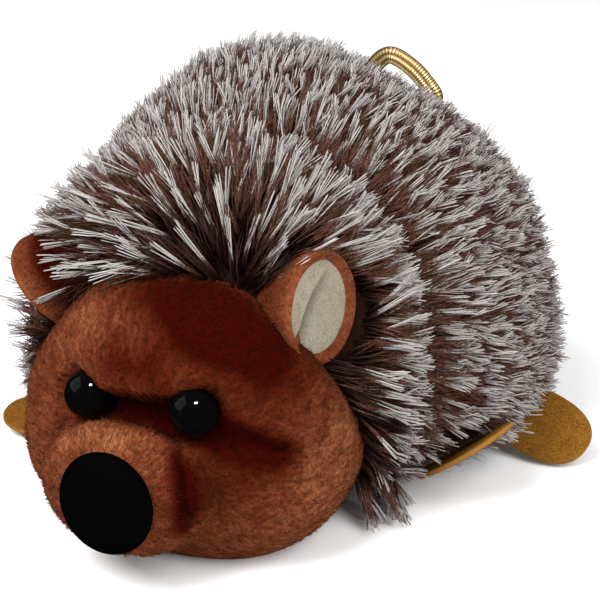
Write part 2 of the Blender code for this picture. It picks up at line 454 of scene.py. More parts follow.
def closed_faces(rows: int, columns: int) -> Array:
    """Faces of a grid that closes around its columns and ends in a point at each pole.

    The poles are the first and the last point. A pole's triangles repeat their pole in a
    four-cornered face's place, so they are kept apart and returned as triangles.

    Args:
        rows: Rings of points between the two poles.
        columns: Points in each ring.

    Returns:
        Triangles, shape (n, 3), facing outwards.
    """
    first = 1 + np.arange(rows - 1)[:, None] * columns + np.arange(columns)[None, :]
    nexts = 1 + np.arange(rows - 1)[:, None] * columns + (np.arange(columns)[None, :] + 1) % columns
    upper = np.stack([first, first + columns, nexts + columns], axis=-1).reshape(-1, 3)
    lower = np.stack([first, nexts + columns, nexts], axis=-1).reshape(-1, 3)
    ring = np.arange(columns)
    beyond = (ring + 1) % columns
    last_ring = 1 + (rows - 1) * columns
    end = 1 + rows * columns
    start_cap = np.stack([np.zeros(columns, int), 1 + ring, 1 + beyond], axis=-1)
    end_cap = np.stack([np.full(columns, end), last_ring + beyond, last_ring + ring], axis=-1)
    return np.vstack([start_cap, upper, lower, end_cap])


def closed_points(grid: Array) -> Array:
    """A grid's points with each pole's ring drawn together into one point."""
    return np.vstack([grid[0].mean(axis=0), grid[1:-1].reshape(-1, 3), grid[-1].mean(axis=0)])


def closed_piece(name: str, grid: Array) -> Piece:
    """A closed object from a pole-to-pole grid whose first and last rows are its poles."""
    rows, columns = grid.shape[:2]
    return new_piece(name, closed_points(grid), closed_faces(rows - 2, columns))


def grid_values(values: Array) -> Array:
    """One number for each point of closed_points, from a grid of numbers."""
    return np.concatenate([[values[0].mean()], values[1:-1].ravel(), [values[-1].mean()]])


def dress(piece: Piece, slot: Slot, material: Material) -> Piece:
    """Gives a piece its finish and its body, and reports it with its slot.

    Args:
        piece: The piece.
        slot: Its slot.
        material: Its finish.

    Returns:
        The same piece.
    """
    piece.data.materials.append(material)
    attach(piece, BODY)
    log.info("%s: %d faces in %s", piece.name, len(piece.data.polygons), slot.value)
    return piece


# ---------------------------------------------------------------- strands of pile


@dataclass(frozen=True)
class Roots:
    """Where strands grow: places on a skin, the skin's normals there and its unwrap."""

    place: Array
    normal: Array
    unwrap: Array

    def only(self, keep: Array) -> "Roots":
        """The roots that a mask or a list of numbers picks."""
        return Roots(self.place[keep], self.normal[keep], self.unwrap[keep])

    def __len__(self) -> int:
        """How many roots there are."""
        return len(self.place)


def sow(grid: Array, normals: Array, count: int, rng: Rng) -> Roots:
    """Scatters roots evenly over a closed grid.

    The cells' areas are added up row by row. Evenly spaced marks along that sum, each moved
    at random within its own space, pick the cells, and two random shares place each root
    between its cell's corners.

    Args:
        grid: The skin's points, shape (rows, columns, 3).
        normals: Its normals, of the same shape.
        count: How many roots to make.
        rng: The source of chance.

    Returns:
        The roots, with the share of the way round and of the area passed as their unwrap.
    """
    rows, columns = grid.shape[:2]
    right = np.roll(grid, -1, axis=1)
    diagonals = np.cross(right[1:] - grid[:-1], grid[1:] - right[:-1])
    area = 0.5 * np.linalg.norm(diagonals, axis=-1)
    total = np.cumsum(area.ravel())
    marks = (np.arange(count) + rng.random(count)) / count * total[-1]
    cell = np.minimum(np.searchsorted(total, marks), total.size - 1)
    row, column = cell // columns, cell % columns
    down, across = rng.random(count), rng.random(count)
    beside = (column + 1) % columns

    def between(values: Array) -> Array:
        """Evens corner values out to the places picked in their cells.

        Args:
            values: A value for each corner.

        Returns:
            A value for each root.
        """
        top = values[row, column] * (1 - across)[:, None] + values[row, beside] * across[:, None]
        low = values[row + 1, column] * (1 - across)[:, None] + values[row + 1, beside] * across[:, None]
        return top * (1 - down)[:, None] + low * down[:, None]

    area_passed = np.concatenate([[0.0], np.cumsum(area.sum(axis=1))]) / total[-1]
    level = area_passed[row] * (1 - down) + area_passed[row + 1] * down
    unwrap = np.stack([(column + across) / columns, level], axis=-1)
    return Roots(between(grid), unit(between(normals)), unwrap)


@dataclass(frozen=True)
class Pile:
    """How one kind of pile grows: sizes in metres, angles in degrees, shares of one."""

    length: float
    radius: float
    strands: int  # in each lock
    lock_radius: float
    gather: float  # how much of their spread the strands of a lock lose by the tip
    root_lift: float  # angle to the skin at the root
    tip_lift: float  # and at the tip
    length_spread: float
    lift_spread: float
    turn_spread: float
    stray: float  # sideways wandering of a strand's tip
    rings: tuple[float, ...]  # where a strand has corners, as shares of its length
    ring_radii: tuple[float, ...]  # and its radius there, as shares of its radius
    sides: int = 3
    sunk: float = 0.0004  # how deep a root stands in the skin


def strand_faces(rings: int, sides: int) -> Array:
    """Triangles of one closed strand: a root cap, walls from ring to ring and a pointed tip.

    Args:
        rings: Rings of corners below the tip.
        sides: Corners in each ring.

    Returns:
        Corner numbers, shape (n, 3), with the tip numbered last.
    """
    ring = np.arange(sides)
    beyond = (ring + 1) % sides
    walls = []
    for low in range(0, (rings - 1) * sides, sides):
        walls.append(np.stack([low + ring, low + beyond, low + sides + beyond], axis=-1))
        walls.append(np.stack([low + ring, low + sides + beyond, low + sides + ring], axis=-1))
    last = (rings - 1) * sides
    tip = np.stack([last + ring, last + beyond, np.full(sides, rings * sides)], axis=-1)
    cap = np.stack([np.zeros(sides - 2, int), ring[2:], ring[1:-1]], axis=-1)
    return np.vstack([cap, *walls, tip])


def settle(points: Array, height: float = 0.004) -> Array:
    """Lifts what would sink into the floor: below height, z becomes height * exp(z / height - 1).

    Args:
        points: Points, shape (..., 3).
        height: Where the lifting starts.

    Returns:
        The points above the floor.
    """
    z = points[..., 2]
    low = FLOOR_AIR + (height - FLOOR_AIR) * np.exp((z - height) / height)
    settled = points.copy()
    settled[..., 2] = np.where(z < height, low, z)
    return settled


STRAND_LENGTH_SPREAD = 0.5  # a strand's own spread, as a share of its lock's
STRAND_LIFT_SPREAD = 2.0  # degrees
STRAY_UP = 0.6  # how much of its sideways wandering a strand has up and down
STRAND_WIDTH = (0.8, 0.4)  # the least, and the most more, as shares of the pile's
CLOSING_POWER = 1.4


def grow(
    name: str,
    roots: Roots,
    lay: Array,
    pile: Pile,
    rng: Rng,
    reach: Array | None = None,
    lift: Array | None = None,
    frost: Array | None = None,
) -> Piece:
    """Grows locks of strands from roots as one joined mesh.

    A lock's centre line leaves its root at the root lift and bends evenly to the tip lift:
    with a = root + (tip - root) * s, its height is the integral of sin a and its run the
    integral of cos a. Its strands start spread over the lock and close on it as s^1.4. Each
    strand is a narrow closed prism along its line that ends in a point.

    Args:
        name: The piece's name.
        roots: One root for each lock.
        lay: The way that the pile lies at each root.
        pile: How the pile grows.
        rng: The source of chance.
        reach: A factor on each lock's length.
        lift: Degrees added to each lock's two lifts.
        frost: A number for each lock, stored on its strands for the finish to read.

    Returns:
        The piece, with the values along, tone and frost and its bake map.
    """
    locks, strands = len(roots), pile.strands
    count = locks * strands
    reach = np.ones(locks) if reach is None else reach
    lift = np.zeros(locks) if lift is None else lift
    frost = rng.random(locks) if frost is None else frost

    forward = tangent(lay, roots.normal)
    sideways = np.cross(roots.normal, forward)
    turn = np.radians(rng.normal(0.0, pile.turn_spread, locks))[:, None]
    forward, sideways = (
        forward * np.cos(turn) + sideways * np.sin(turn),
        sideways * np.cos(turn) - forward * np.sin(turn),
    )

    def each(values: Array) -> Array:
        """The values of the locks, repeated for each lock's strands."""
        return np.repeat(values, strands, axis=0)

    length = each(pile.length * reach * (1.0 + rng.normal(0.0, pile.length_spread, locks)))
    length *= 1.0 + rng.normal(0.0, STRAND_LENGTH_SPREAD * pile.length_spread, count)
    raised = each(lift + rng.normal(0.0, pile.lift_spread, locks))
    raised = raised + rng.normal(0.0, STRAND_LIFT_SPREAD, count)
    start = np.radians(pile.root_lift + raised)
    bend = np.radians(np.full(count, pile.tip_lift - pile.root_lift))
    disc = np.sqrt(rng.random(count)) * pile.lock_radius
    around = 2.0 * np.pi * rng.random(count)
    off_side, off_front = disc * np.cos(around), disc * np.sin(around)
    stray_side = rng.normal(0.0, pile.stray, count) * length
    stray_up = rng.normal(0.0, STRAY_UP * pile.stray, count) * length

    share = np.array([*pile.rings, 1.0])[None, :]
    angle = start[:, None] + bend[:, None] * share
    run = length[:, None] * (np.sin(angle) - np.sin(start[:, None])) / bend[:, None]
    rise = length[:, None] * (np.cos(start[:, None]) - np.cos(angle)) / bend[:, None] - pile.sunk
    close = 1.0 - pile.gather * share**CLOSING_POWER
    to_side = off_side[:, None] * close + stray_side[:, None] * share**2
    to_front = run + off_front[:, None] * close
    to_top = rise + stray_up[:, None] * share**2
    normal, forward, sideways = each(roots.normal), each(forward), each(sideways)
    line = each(roots.place)[:, None, :] + (
        to_front[..., None] * forward[:, None, :]
        + to_side[..., None] * sideways[:, None, :]
        + to_top[..., None] * normal[:, None, :]
    )

    spin = (2.0 * np.pi * rng.random(count))[:, None] + 2.0 * np.pi * np.arange(pile.sides) / pile.sides
    least, more = STRAND_WIDTH
    widths = pile.radius * (least + more * rng.random(count))[:, None] * np.array(pile.ring_radii)[None, :]
    lean = angle[:, :-1]
    raise_axis = np.cos(lean)[..., None] * normal[:, None, :] - np.sin(lean)[..., None] * forward[:, None, :]
    ring = (
        np.cos(spin)[:, None, :, None] * sideways[:, None, None, :]
        + np.sin(spin)[:, None, :, None] * raise_axis[:, :, None, :]
    ) * widths[:, :, None, None]
    rings = line[:, :-1, None, :] + ring
    per_strand = len(pile.rings) * pile.sides + 1
    points = np.concatenate([rings.reshape(count, -1, 3), line[:, -1:, :]], axis=1)
    points = settle(points).reshape(-1, 3)

    pattern = strand_faces(len(pile.rings), pile.sides)
    faces = (pattern[None] + (np.arange(count) * per_strand)[:, None, None]).reshape(-1, 3)
    piece = new_piece(name, points, faces)
    along = np.append(np.repeat(np.array(pile.rings), pile.sides), 1.0)
    across = np.append(np.tile(np.arange(pile.sides) / pile.sides, len(pile.rings)), 0.5)
    set_values(piece, "along", np.tile(along, count))
    set_values(piece, "tone", np.repeat(rng.random(count), per_strand))
    set_values(piece, "frost", np.repeat(each(frost), per_strand))
    patch = np.stack([across - 0.5, along - 0.5], axis=-1) * TUFT_PATCH
    home = np.clip(each(roots.unwrap), TUFT_PATCH, 1.0 - TUFT_PATCH)
    set_map(piece, BAKE_MAP, (home[:, None, :] + patch[None, :, :]).reshape(-1, 2))
    return piece


# ---------------------------------------------------------------- finishes


class Nodes:
    """A short way to write a material's or a group's nodes."""

    def __init__(self, tree: bpy.types.NodeTree) -> None:
        """Takes the tree to write in."""
        self.tree = tree

    def add(self, kind: str, inputs: dict | None = None, **settings: object) -> bpy.types.Node:
        """Adds a node.

        Args:
            kind: Its type.
            inputs: A socket or a plain value for each input that is fed, by name or number.
            settings: Its properties.

        Returns:
            The node.
        """
        node = self.tree.nodes.new(kind)
        for key, value in settings.items():
            setattr(node, key, value)
        for key, given in (inputs or {}).items():
            self.give(node.inputs[key], given)
        return node

    def give(self, socket: Socket, given: object) -> None:
        """Feeds an input.

        Args:
            socket: The input.
            given: A socket to link, a colour or a number.
        """
        if isinstance(given, Socket):
            self.tree.links.new(given, socket)
        elif isinstance(given, tuple):
            socket.default_value = (*given, 1.0)
        else:
            socket.default_value = given

    def value(self, name: str) -> Socket:
        """The output of one of the piece's own stored numbers."""
        return self.add("ShaderNodeAttribute", attribute_name=name).outputs["Fac"]

    def maths(self, operation: str, *inputs: object) -> Socket:
        """A Math node on sockets and plain numbers."""
        return self.add("ShaderNodeMath", dict(enumerate(inputs)), operation=operation).outputs[0]

    def span(self, value: object, low: float, high: float, start: float = 0.0, end: float = 1.0) -> Socket:
        """A smooth ramp of value from low..high to start..end."""
        inputs = dict(enumerate((value, low, high, start, end)))
        return self.add("ShaderNodeMapRange", inputs, interpolation_type="SMOOTHSTEP").outputs[0]

    def mix(self, share: object, first: object, second: object) -> Socket:
        """A colour between two, each a socket or a plain colour."""
        return self.add("ShaderNodeMix", {0: share, 6: first, 7: second}, data_type="RGBA").outputs[2]

    def noise(self, scale: object, detail: float = 2.0) -> Socket:
        """Noise on the object's own coordinates.

        Args:
            scale: Its scale, a socket or a number.
            detail: How many finer layers it has.

        Returns:
            Its strength.
        """
        place = self.add("ShaderNodeTexCoord").outputs["Object"]
        inputs = {"Vector": place, "Scale": scale, "Detail": detail}
        return self.add("ShaderNodeTexNoise", inputs).outputs["Fac"]

    def group(self, tree: bpy.types.NodeTree, **inputs: object) -> Socket:
        """Places a shared group with this material's own values."""
        named = {name.replace("_", " "): given for name, given in inputs.items()}
        return self.add("ShaderNodeGroup", named, node_tree=tree).outputs[0]


def new_group(name: str, inputs: dict[str, float], output: str) -> tuple[Nodes, dict, Socket]:
    """Starts a shader node group.

    Args:
        name: The group's name.
        inputs: Its number inputs and their first values.
        output: The name of its one output, a number.

    Returns:
        Its nodes, its inputs' sockets inside it by name and its output's socket inside it.
    """
    tree = bpy.data.node_groups.new(name, "ShaderNodeTree")
    for word, value in inputs.items():
        tree.interface.new_socket(word, in_out="INPUT", socket_type="NodeSocketFloat").default_value = value
    tree.interface.new_socket(output, in_out="OUTPUT", socket_type="NodeSocketFloat")
    nodes = Nodes(tree)
    entry, leave = nodes.add("NodeGroupInput"), nodes.add("NodeGroupOutput")
    return nodes, {word: entry.outputs[word] for word in inputs}, leave.inputs[output]


@cache
def mottle_group() -> bpy.types.NodeTree:
    """Builds, once, the group of cloudy patches with a fine speckle over them.

    Returns:
        The group, whose mask lies about a half.
    """
    first = {"Patch Scale": 60.0, "Speck Scale": 2500.0, "Speck Share": 0.4}
    nodes, given, mask = new_group("mottle", first, "Mask")
    fine = nodes.maths("MULTIPLY", nodes.noise(given["Speck Scale"]), given["Speck Share"])
    rest = nodes.maths("SUBTRACT", 1.0, given["Speck Share"])
    broad = nodes.maths("MULTIPLY", nodes.noise(given["Patch Scale"]), rest)
    nodes.give(mask, nodes.maths("ADD", fine, broad))
    return nodes.tree


@cache
def nap_group() -> bpy.types.NodeTree:
    """Builds, once, the group for the height of a short nap: fine grains broken up by coarser ones.

    Returns:
        The group.
    """
    coarser, share = 0.22, 0.8
    nodes, given, height = new_group("nap", {"Grain Scale": 3000.0}, "Height")
    fine = nodes.noise(given["Grain Scale"])
    coarse = nodes.noise(nodes.maths("MULTIPLY", given["Grain Scale"], coarser))
    nodes.give(height, nodes.maths("ADD", fine, nodes.maths("MULTIPLY", coarse, share)))
    return nodes.tree


class Surface(Nodes):
    """A material in the making: its nodes and its Principled shader."""

    def __init__(self, name: str, roughness: float, specular: float = 0.5) -> None:
        """Starts the material.

        Args:
            name: Its name.
            roughness: Its roughness.
            specular: How strong its plain reflections are.
        """
        self.material = bpy.data.materials.new(name)
        self.material.use_nodes = True
        super().__init__(self.material.node_tree)
        self.shader = self.tree.nodes["Principled BSDF"]
        self.feed(Roughness=roughness, Specular_IOR_Level=specular)

    def feed(self, **inputs: object) -> None:
        """Feeds a socket or a plain value to each of the shader's inputs that is named."""
        for name, given in inputs.items():
            self.give(self.shader.inputs[name.replace("_", " ")], given)

    def bump(self, height: object, strength: float, depth: float) -> None:
        """Raises a height, with its depth in metres from a height of zero to one."""
        inputs = {"Height": height, "Strength": strength, "Distance": depth}
        self.feed(Normal=self.add("ShaderNodeBump", inputs).outputs["Normal"])

    def mottle(self, patch: float, speck: float, share: float = 0.4) -> Socket:
        """The mottled mask at this material's own scales."""
        return self.group(mottle_group(), Patch_Scale=patch, Speck_Scale=speck, Speck_Share=share)

    def nap(self, grain: float, strength: float, depth: float) -> None:
        """Raises a nap of its own grain."""
        self.bump(self.group(nap_group(), Grain_Scale=grain), strength, depth)


@dataclass(frozen=True)
class LongPileFinish:
    """Tipped pile: nearly black brown at the root, brown up its length and frosted at the end.

    Each strand's frost value is the share of its length at which its pale part starts. A
    strand at 2 has none, and from there to 3 its brown darkens to the root's own colour as painted shade.
    """

    root: Colour = (0.014, 0.0055, 0.004)
    brown: Colour = (0.060, 0.021, 0.013)
    fleck: Colour = (0.135, 0.063, 0.043)
    frosted: Colour = (0.355, 0.333, 0.318)
    shaded: Colour = (0.262, 0.243, 0.230)
    frost_width: float = 0.10
    grain: float = 1900.0
    fleck_span: Pair = (0.38, 0.72)
    root_span: Pair = (0.05, 0.55)
    # the most painted shade, beside the face and in the neck's fold
    darkest: float = 0.85
    raggedness: float = 0.30

    def build(self) -> Material:
        """Builds it on the strands' along, tone and frost.

        Returns:
            The material.
        """
        made = Surface("long_pile", roughness=0.6, specular=0.08)
        along, tone, frost = (made.value(word) for word in ("along", "tone", "frost"))
        grain = made.noise(self.grain)
        middle = made.mix(made.span(grain, *self.fleck_span), self.brown, self.fleck)
        # Painted shade: from a frost of 2 to 3 the brown darkens towards the root's colour.
        middle = made.mix(made.span(frost, 2.0, 3.0, end=self.darkest), middle, self.root)
        brown = made.mix(made.span(along, *self.root_span), self.root, middle)
        ragged = made.maths("MULTIPLY_ADD", made.maths("SUBTRACT", grain, 0.5), self.raggedness, along)
        past = made.maths("SUBTRACT", ragged, frost)
        share = made.span(past, -self.frost_width, self.frost_width)
        pale = made.mix(tone, self.frosted, self.shaded)
        made.feed(Base_Color=made.mix(share, brown, pale))
        return made.material


@dataclass(frozen=True)
class BackingFinish:
    """The dark knitted backing and underfur that the long pile grows from."""

    dark: Colour = (0.006, 0.0025, 0.0018)
    light: Colour = (0.018, 0.0075, 0.0050)

    def build(self) -> Material:
        """Builds it.

        Returns:
            The material.
        """
        made = Surface("pile_backing", roughness=0.95, specular=0.0)
        made.feed(Base_Color=made.mix(made.mottle(patch=220.0, speck=1800.0), self.dark, self.light))
        made.nap(grain=1500.0, strength=0.6, depth=0.0006)
        return made.material


@dataclass(frozen=True)
class ShortPileFinish:
    """Short dense plush: deep red-brown in its nap and in its painted shade, warmer and paler where it is
    brushed up and where light is painted.
    """

    deep: Colour = (0.021, 0.0008, 0.0003)
    middle: Colour = (0.088, 0.0120, 0.0036)
    brushed: Colour = (0.258, 0.098, 0.041)
    sheen: float = 0.03
    sheen_tint: Colour = (0.80, 0.42, 0.25)
    strand_span: Pair = (0.34, 0.84)  # how much a strand's tone counts, and what it is added to
    cloudiness: float = 1.9

    def build(self) -> Material:
        """Builds it on the skin's or the nap strands' own frost value, which holds painted light and shade
        with the nap's paleness.

        Returns:
            The material.
        """
        made = Surface("short_pile", roughness=0.9, specular=0.0)
        mask = made.mottle(patch=170.0, speck=1300.0, share=0.55)
        strand = made.maths("MULTIPLY_ADD", made.value("tone"), *self.strand_span)
        cloud = made.maths("MULTIPLY_ADD", made.maths("SUBTRACT", mask, 0.5), self.cloudiness, strand)
        # The frost value carries the nap's paleness and its painted light and shade.
        brushed = made.maths("MULTIPLY", made.value("frost"), cloud)
        share = made.maths("MINIMUM", made.maths("MAXIMUM", brushed, 0.0), 1.0)
        lower = made.mix(share, self.deep, self.middle)
        upper = made.mix(share, self.middle, self.brushed)
        made.feed(Base_Color=made.mix(share, lower, upper))
        made.feed(Sheen_Weight=self.sheen, Sheen_Roughness=0.45, Sheen_Tint=self.sheen_tint)
        made.nap(grain=2600.0, strength=0.7, depth=0.0005)
        return made.material


@dataclass(frozen=True)
class CreamFinish:
    """Cream velour with a short speckled nap."""

    shade: Colour = (0.145, 0.123, 0.088)
    lit: Colour = (0.254, 0.226, 0.172)
    crease: Colour = (0.060, 0.046, 0.030)
    speckle: Pair = (0.32, 0.58)

    def build(self) -> Material:
        """Builds it on the lining's fold value, the painted shade in its groove.

        Returns:
            The material.
        """
        made = Surface("cream_plush", roughness=0.95, specular=0.1)
        mask = made.mottle(patch=300.0, speck=3200.0, share=0.75)
        grained = made.mix(made.span(mask, *self.speckle), self.shade, self.lit)
        # The fold value paints shade into the lining's groove.
        made.feed(Base_Color=made.mix(made.value("fold"), grained, self.crease))
        made.nap(grain=3000.0, strength=0.6, depth=0.0004)
        return made.material


@dataclass(frozen=True)
class FlockFinish:
    """Dead matt black flock."""

    black: Colour = (0.0008, 0.0008, 0.0009)

    def build(self) -> Material:
        """Builds it.

        Returns:
            The material.
        """
        made = Surface("flocked_nose", roughness=0.9, specular=0.0)
        made.feed(Base_Color=self.black)
        made.nap(grain=4500.0, strength=0.5, depth=0.0002)
        return made.material


@dataclass(frozen=True)
class BeadFinish:
    """Glossy black bead with a clear polished surface."""

    black: Colour = (0.0012, 0.0012, 0.0014)
    dust_span: Pair = (0.35, 0.75)
    dust_roughness: Pair = (0.035, 0.12)

    def build(self) -> Material:
        """Builds it with a little dust in its polish.

        Returns:
            The material.
        """
        made = Surface("eye_bead", roughness=0.06, specular=0.15)
        dust = made.span(made.noise(900.0, detail=3.0), *self.dust_span, *self.dust_roughness)
        made.feed(Base_Color=self.black, Roughness=dust)
        return made.material


@dataclass(frozen=True)
class FeltFinish:
    """Pressed tan felt with tangled fibres, paler along its cut edge."""

    dark: Colour = (0.098, 0.040, 0.006)
    light: Colour = (0.212, 0.094, 0.015)
    edge: Colour = (0.215, 0.098, 0.024)
    fibres: Pair = (0.3, 0.7)

    def build(self) -> Material:
        """Builds it on the foot's own edge value.

        Returns:
            The material.
        """
        made = Surface("tan_felt", roughness=0.97, specular=0.0)
        mask = made.mottle(patch=350.0, speck=2400.0, share=0.8)
        face = made.mix(made.span(mask, *self.fibres), self.dark, self.light)
        made.feed(Base_Color=made.mix(made.value("edge"), face, self.edge))
        made.nap(grain=1900.0, strength=0.6, depth=0.0004)
        return made.material


@dataclass(frozen=True)
class RibbonFinish:
    """Metallic gold ribbon woven with brown stripes along its length."""

    gold: Colour = (0.36, 0.255, 0.09)
    brown: Colour = (0.11, 0.055, 0.018)
    stripe_turns: float = 3.0 * 2.0 * math.pi  # from one edge to the other
    cord_turns: float = 9000.0  # in radians for each metre of length
    cord_share: float = 0.25
    stripe_span: Pair = (-0.35, 0.45)
    metallic: float = 0.55

    def build(self) -> Material:
        """Builds it on the ribbon's own across and run values.

        Returns:
            The material.
        """
        made = Surface("gold_ribbon", roughness=0.38)
        wave = made.maths("SINE", made.maths("MULTIPLY", made.value("across"), self.stripe_turns))
        cord = made.maths("SINE", made.maths("MULTIPLY", made.value("run"), self.cord_turns))
        stripe = made.span(made.maths("MULTIPLY_ADD", cord, self.cord_share, wave), *self.stripe_span)
        made.feed(Base_Color=made.mix(stripe, self.brown, self.gold), Metallic=self.metallic)
        made.bump(made.maths("ADD", wave, cord), strength=0.5, depth=0.0001)
        return made.material


@dataclass(frozen=True)
class FloorFinish:
    """A plain pale studio floor."""

    pale: Colour = (0.92, 0.92, 0.92)

    def build(self) -> Material:
        """Builds it.

        Returns:
            The material.
        """
        made = Surface("studio_floor", roughness=0.8)
        made.feed(Base_Color=self.pale)
        return made.material


@dataclass(frozen=True)
class Finishes:
    """Every finish of the toy, built once."""

    long_pile: Material
    backing: Material
    short_pile: Material
    cream: Material
    flock: Material
    bead: Material
    felt: Material
    ribbon: Material

    @classmethod
    def build(cls) -> "Finishes":
        """Builds them all.

        Returns:
            The finishes.
        """
        pile = (LongPileFinish(), BackingFinish(), ShortPileFinish(), CreamFinish())
        trim = (FlockFinish(), BeadFinish(), FeltFinish(), RibbonFinish())
        return cls(*(finish.build() for finish in (*pile, *trim)))


# ---------------------------------------------------------------- the face

INSIDE_Y = -0.0450  # a y that lies inside the head


def laid(form: Field, corners: tuple[Vec, ...]) -> tuple[Array, Array]:
    """A chain laid along a form's front, found along -Y from inside it.

    Args:
        form: Distance to the form, negative inside.
        corners: The x, the z and a radius of each corner.

    Returns:
        The corners' places on the front, and their radii.
    """
    x, z, radii = np.array(corners).T
    inside = np.stack([x, np.full_like(x, INSIDE_Y), z], axis=-1)
    ahead = np.tile([0.0, -1.0, 0.0], (len(x), 1))
    return cast(form, inside, ahead, reach=0.05), radii


@dataclass(frozen=True)
class Groove:
    """A fold carved into the front of the face by a round tool that follows the skin.

    Its corners give x, z and the tool's radius. The depth is a share of that radius.
    """

    corners: tuple[Vec, ...]
    depth: float
    blend: float

    def tool(self, form: Field) -> tuple[Array, Array]:
        """Lays the tool along a form's front.

        Args:
            form: Distance to the form, negative inside.

        Returns:
            Where the tool's middle runs, and its radius at each corner.
        """
        route, radii = laid(form, self.corners)
        route[:, 1] -= radii * (1.0 - self.depth)
        return route, radii


@dataclass(frozen=True)
class Ridge:
    """A roll of plush that stands proud of the face, such as a brow.

    Its corners give x, z and the roll's radius. It stands out by its rise.
    """

    corners: tuple[Vec, ...]
    rise: float
    blend: float

    def tool(self, form: Field) -> tuple[Array, Array]:
        """Lays the roll along a form's front.

        Args:
            form: Distance to the form, negative inside.

        Returns:
            Where the roll's middle runs, and its radius at each corner.
        """
        route, radii = laid(form, self.corners)
        route[:, 1] += radii - self.rise
        return route, radii


@dataclass(frozen=True)
class Shave:
    """A slanting plane past which the face is taken away."""

    place: Vec
    outward: Vec
    blend: float

    def beyond(self, points: Array) -> Array:
        """Distance to what is taken away, negative inside it."""
        return -(points - np.array(self.place)) @ unit(np.array(self.outward))


@dataclass(frozen=True)
class Patch:
    """A place or a line of painted light on the nap, or of painted shade where its amount is negative."""

    corners: tuple[Vec, ...]
    amount: float
    spread: float


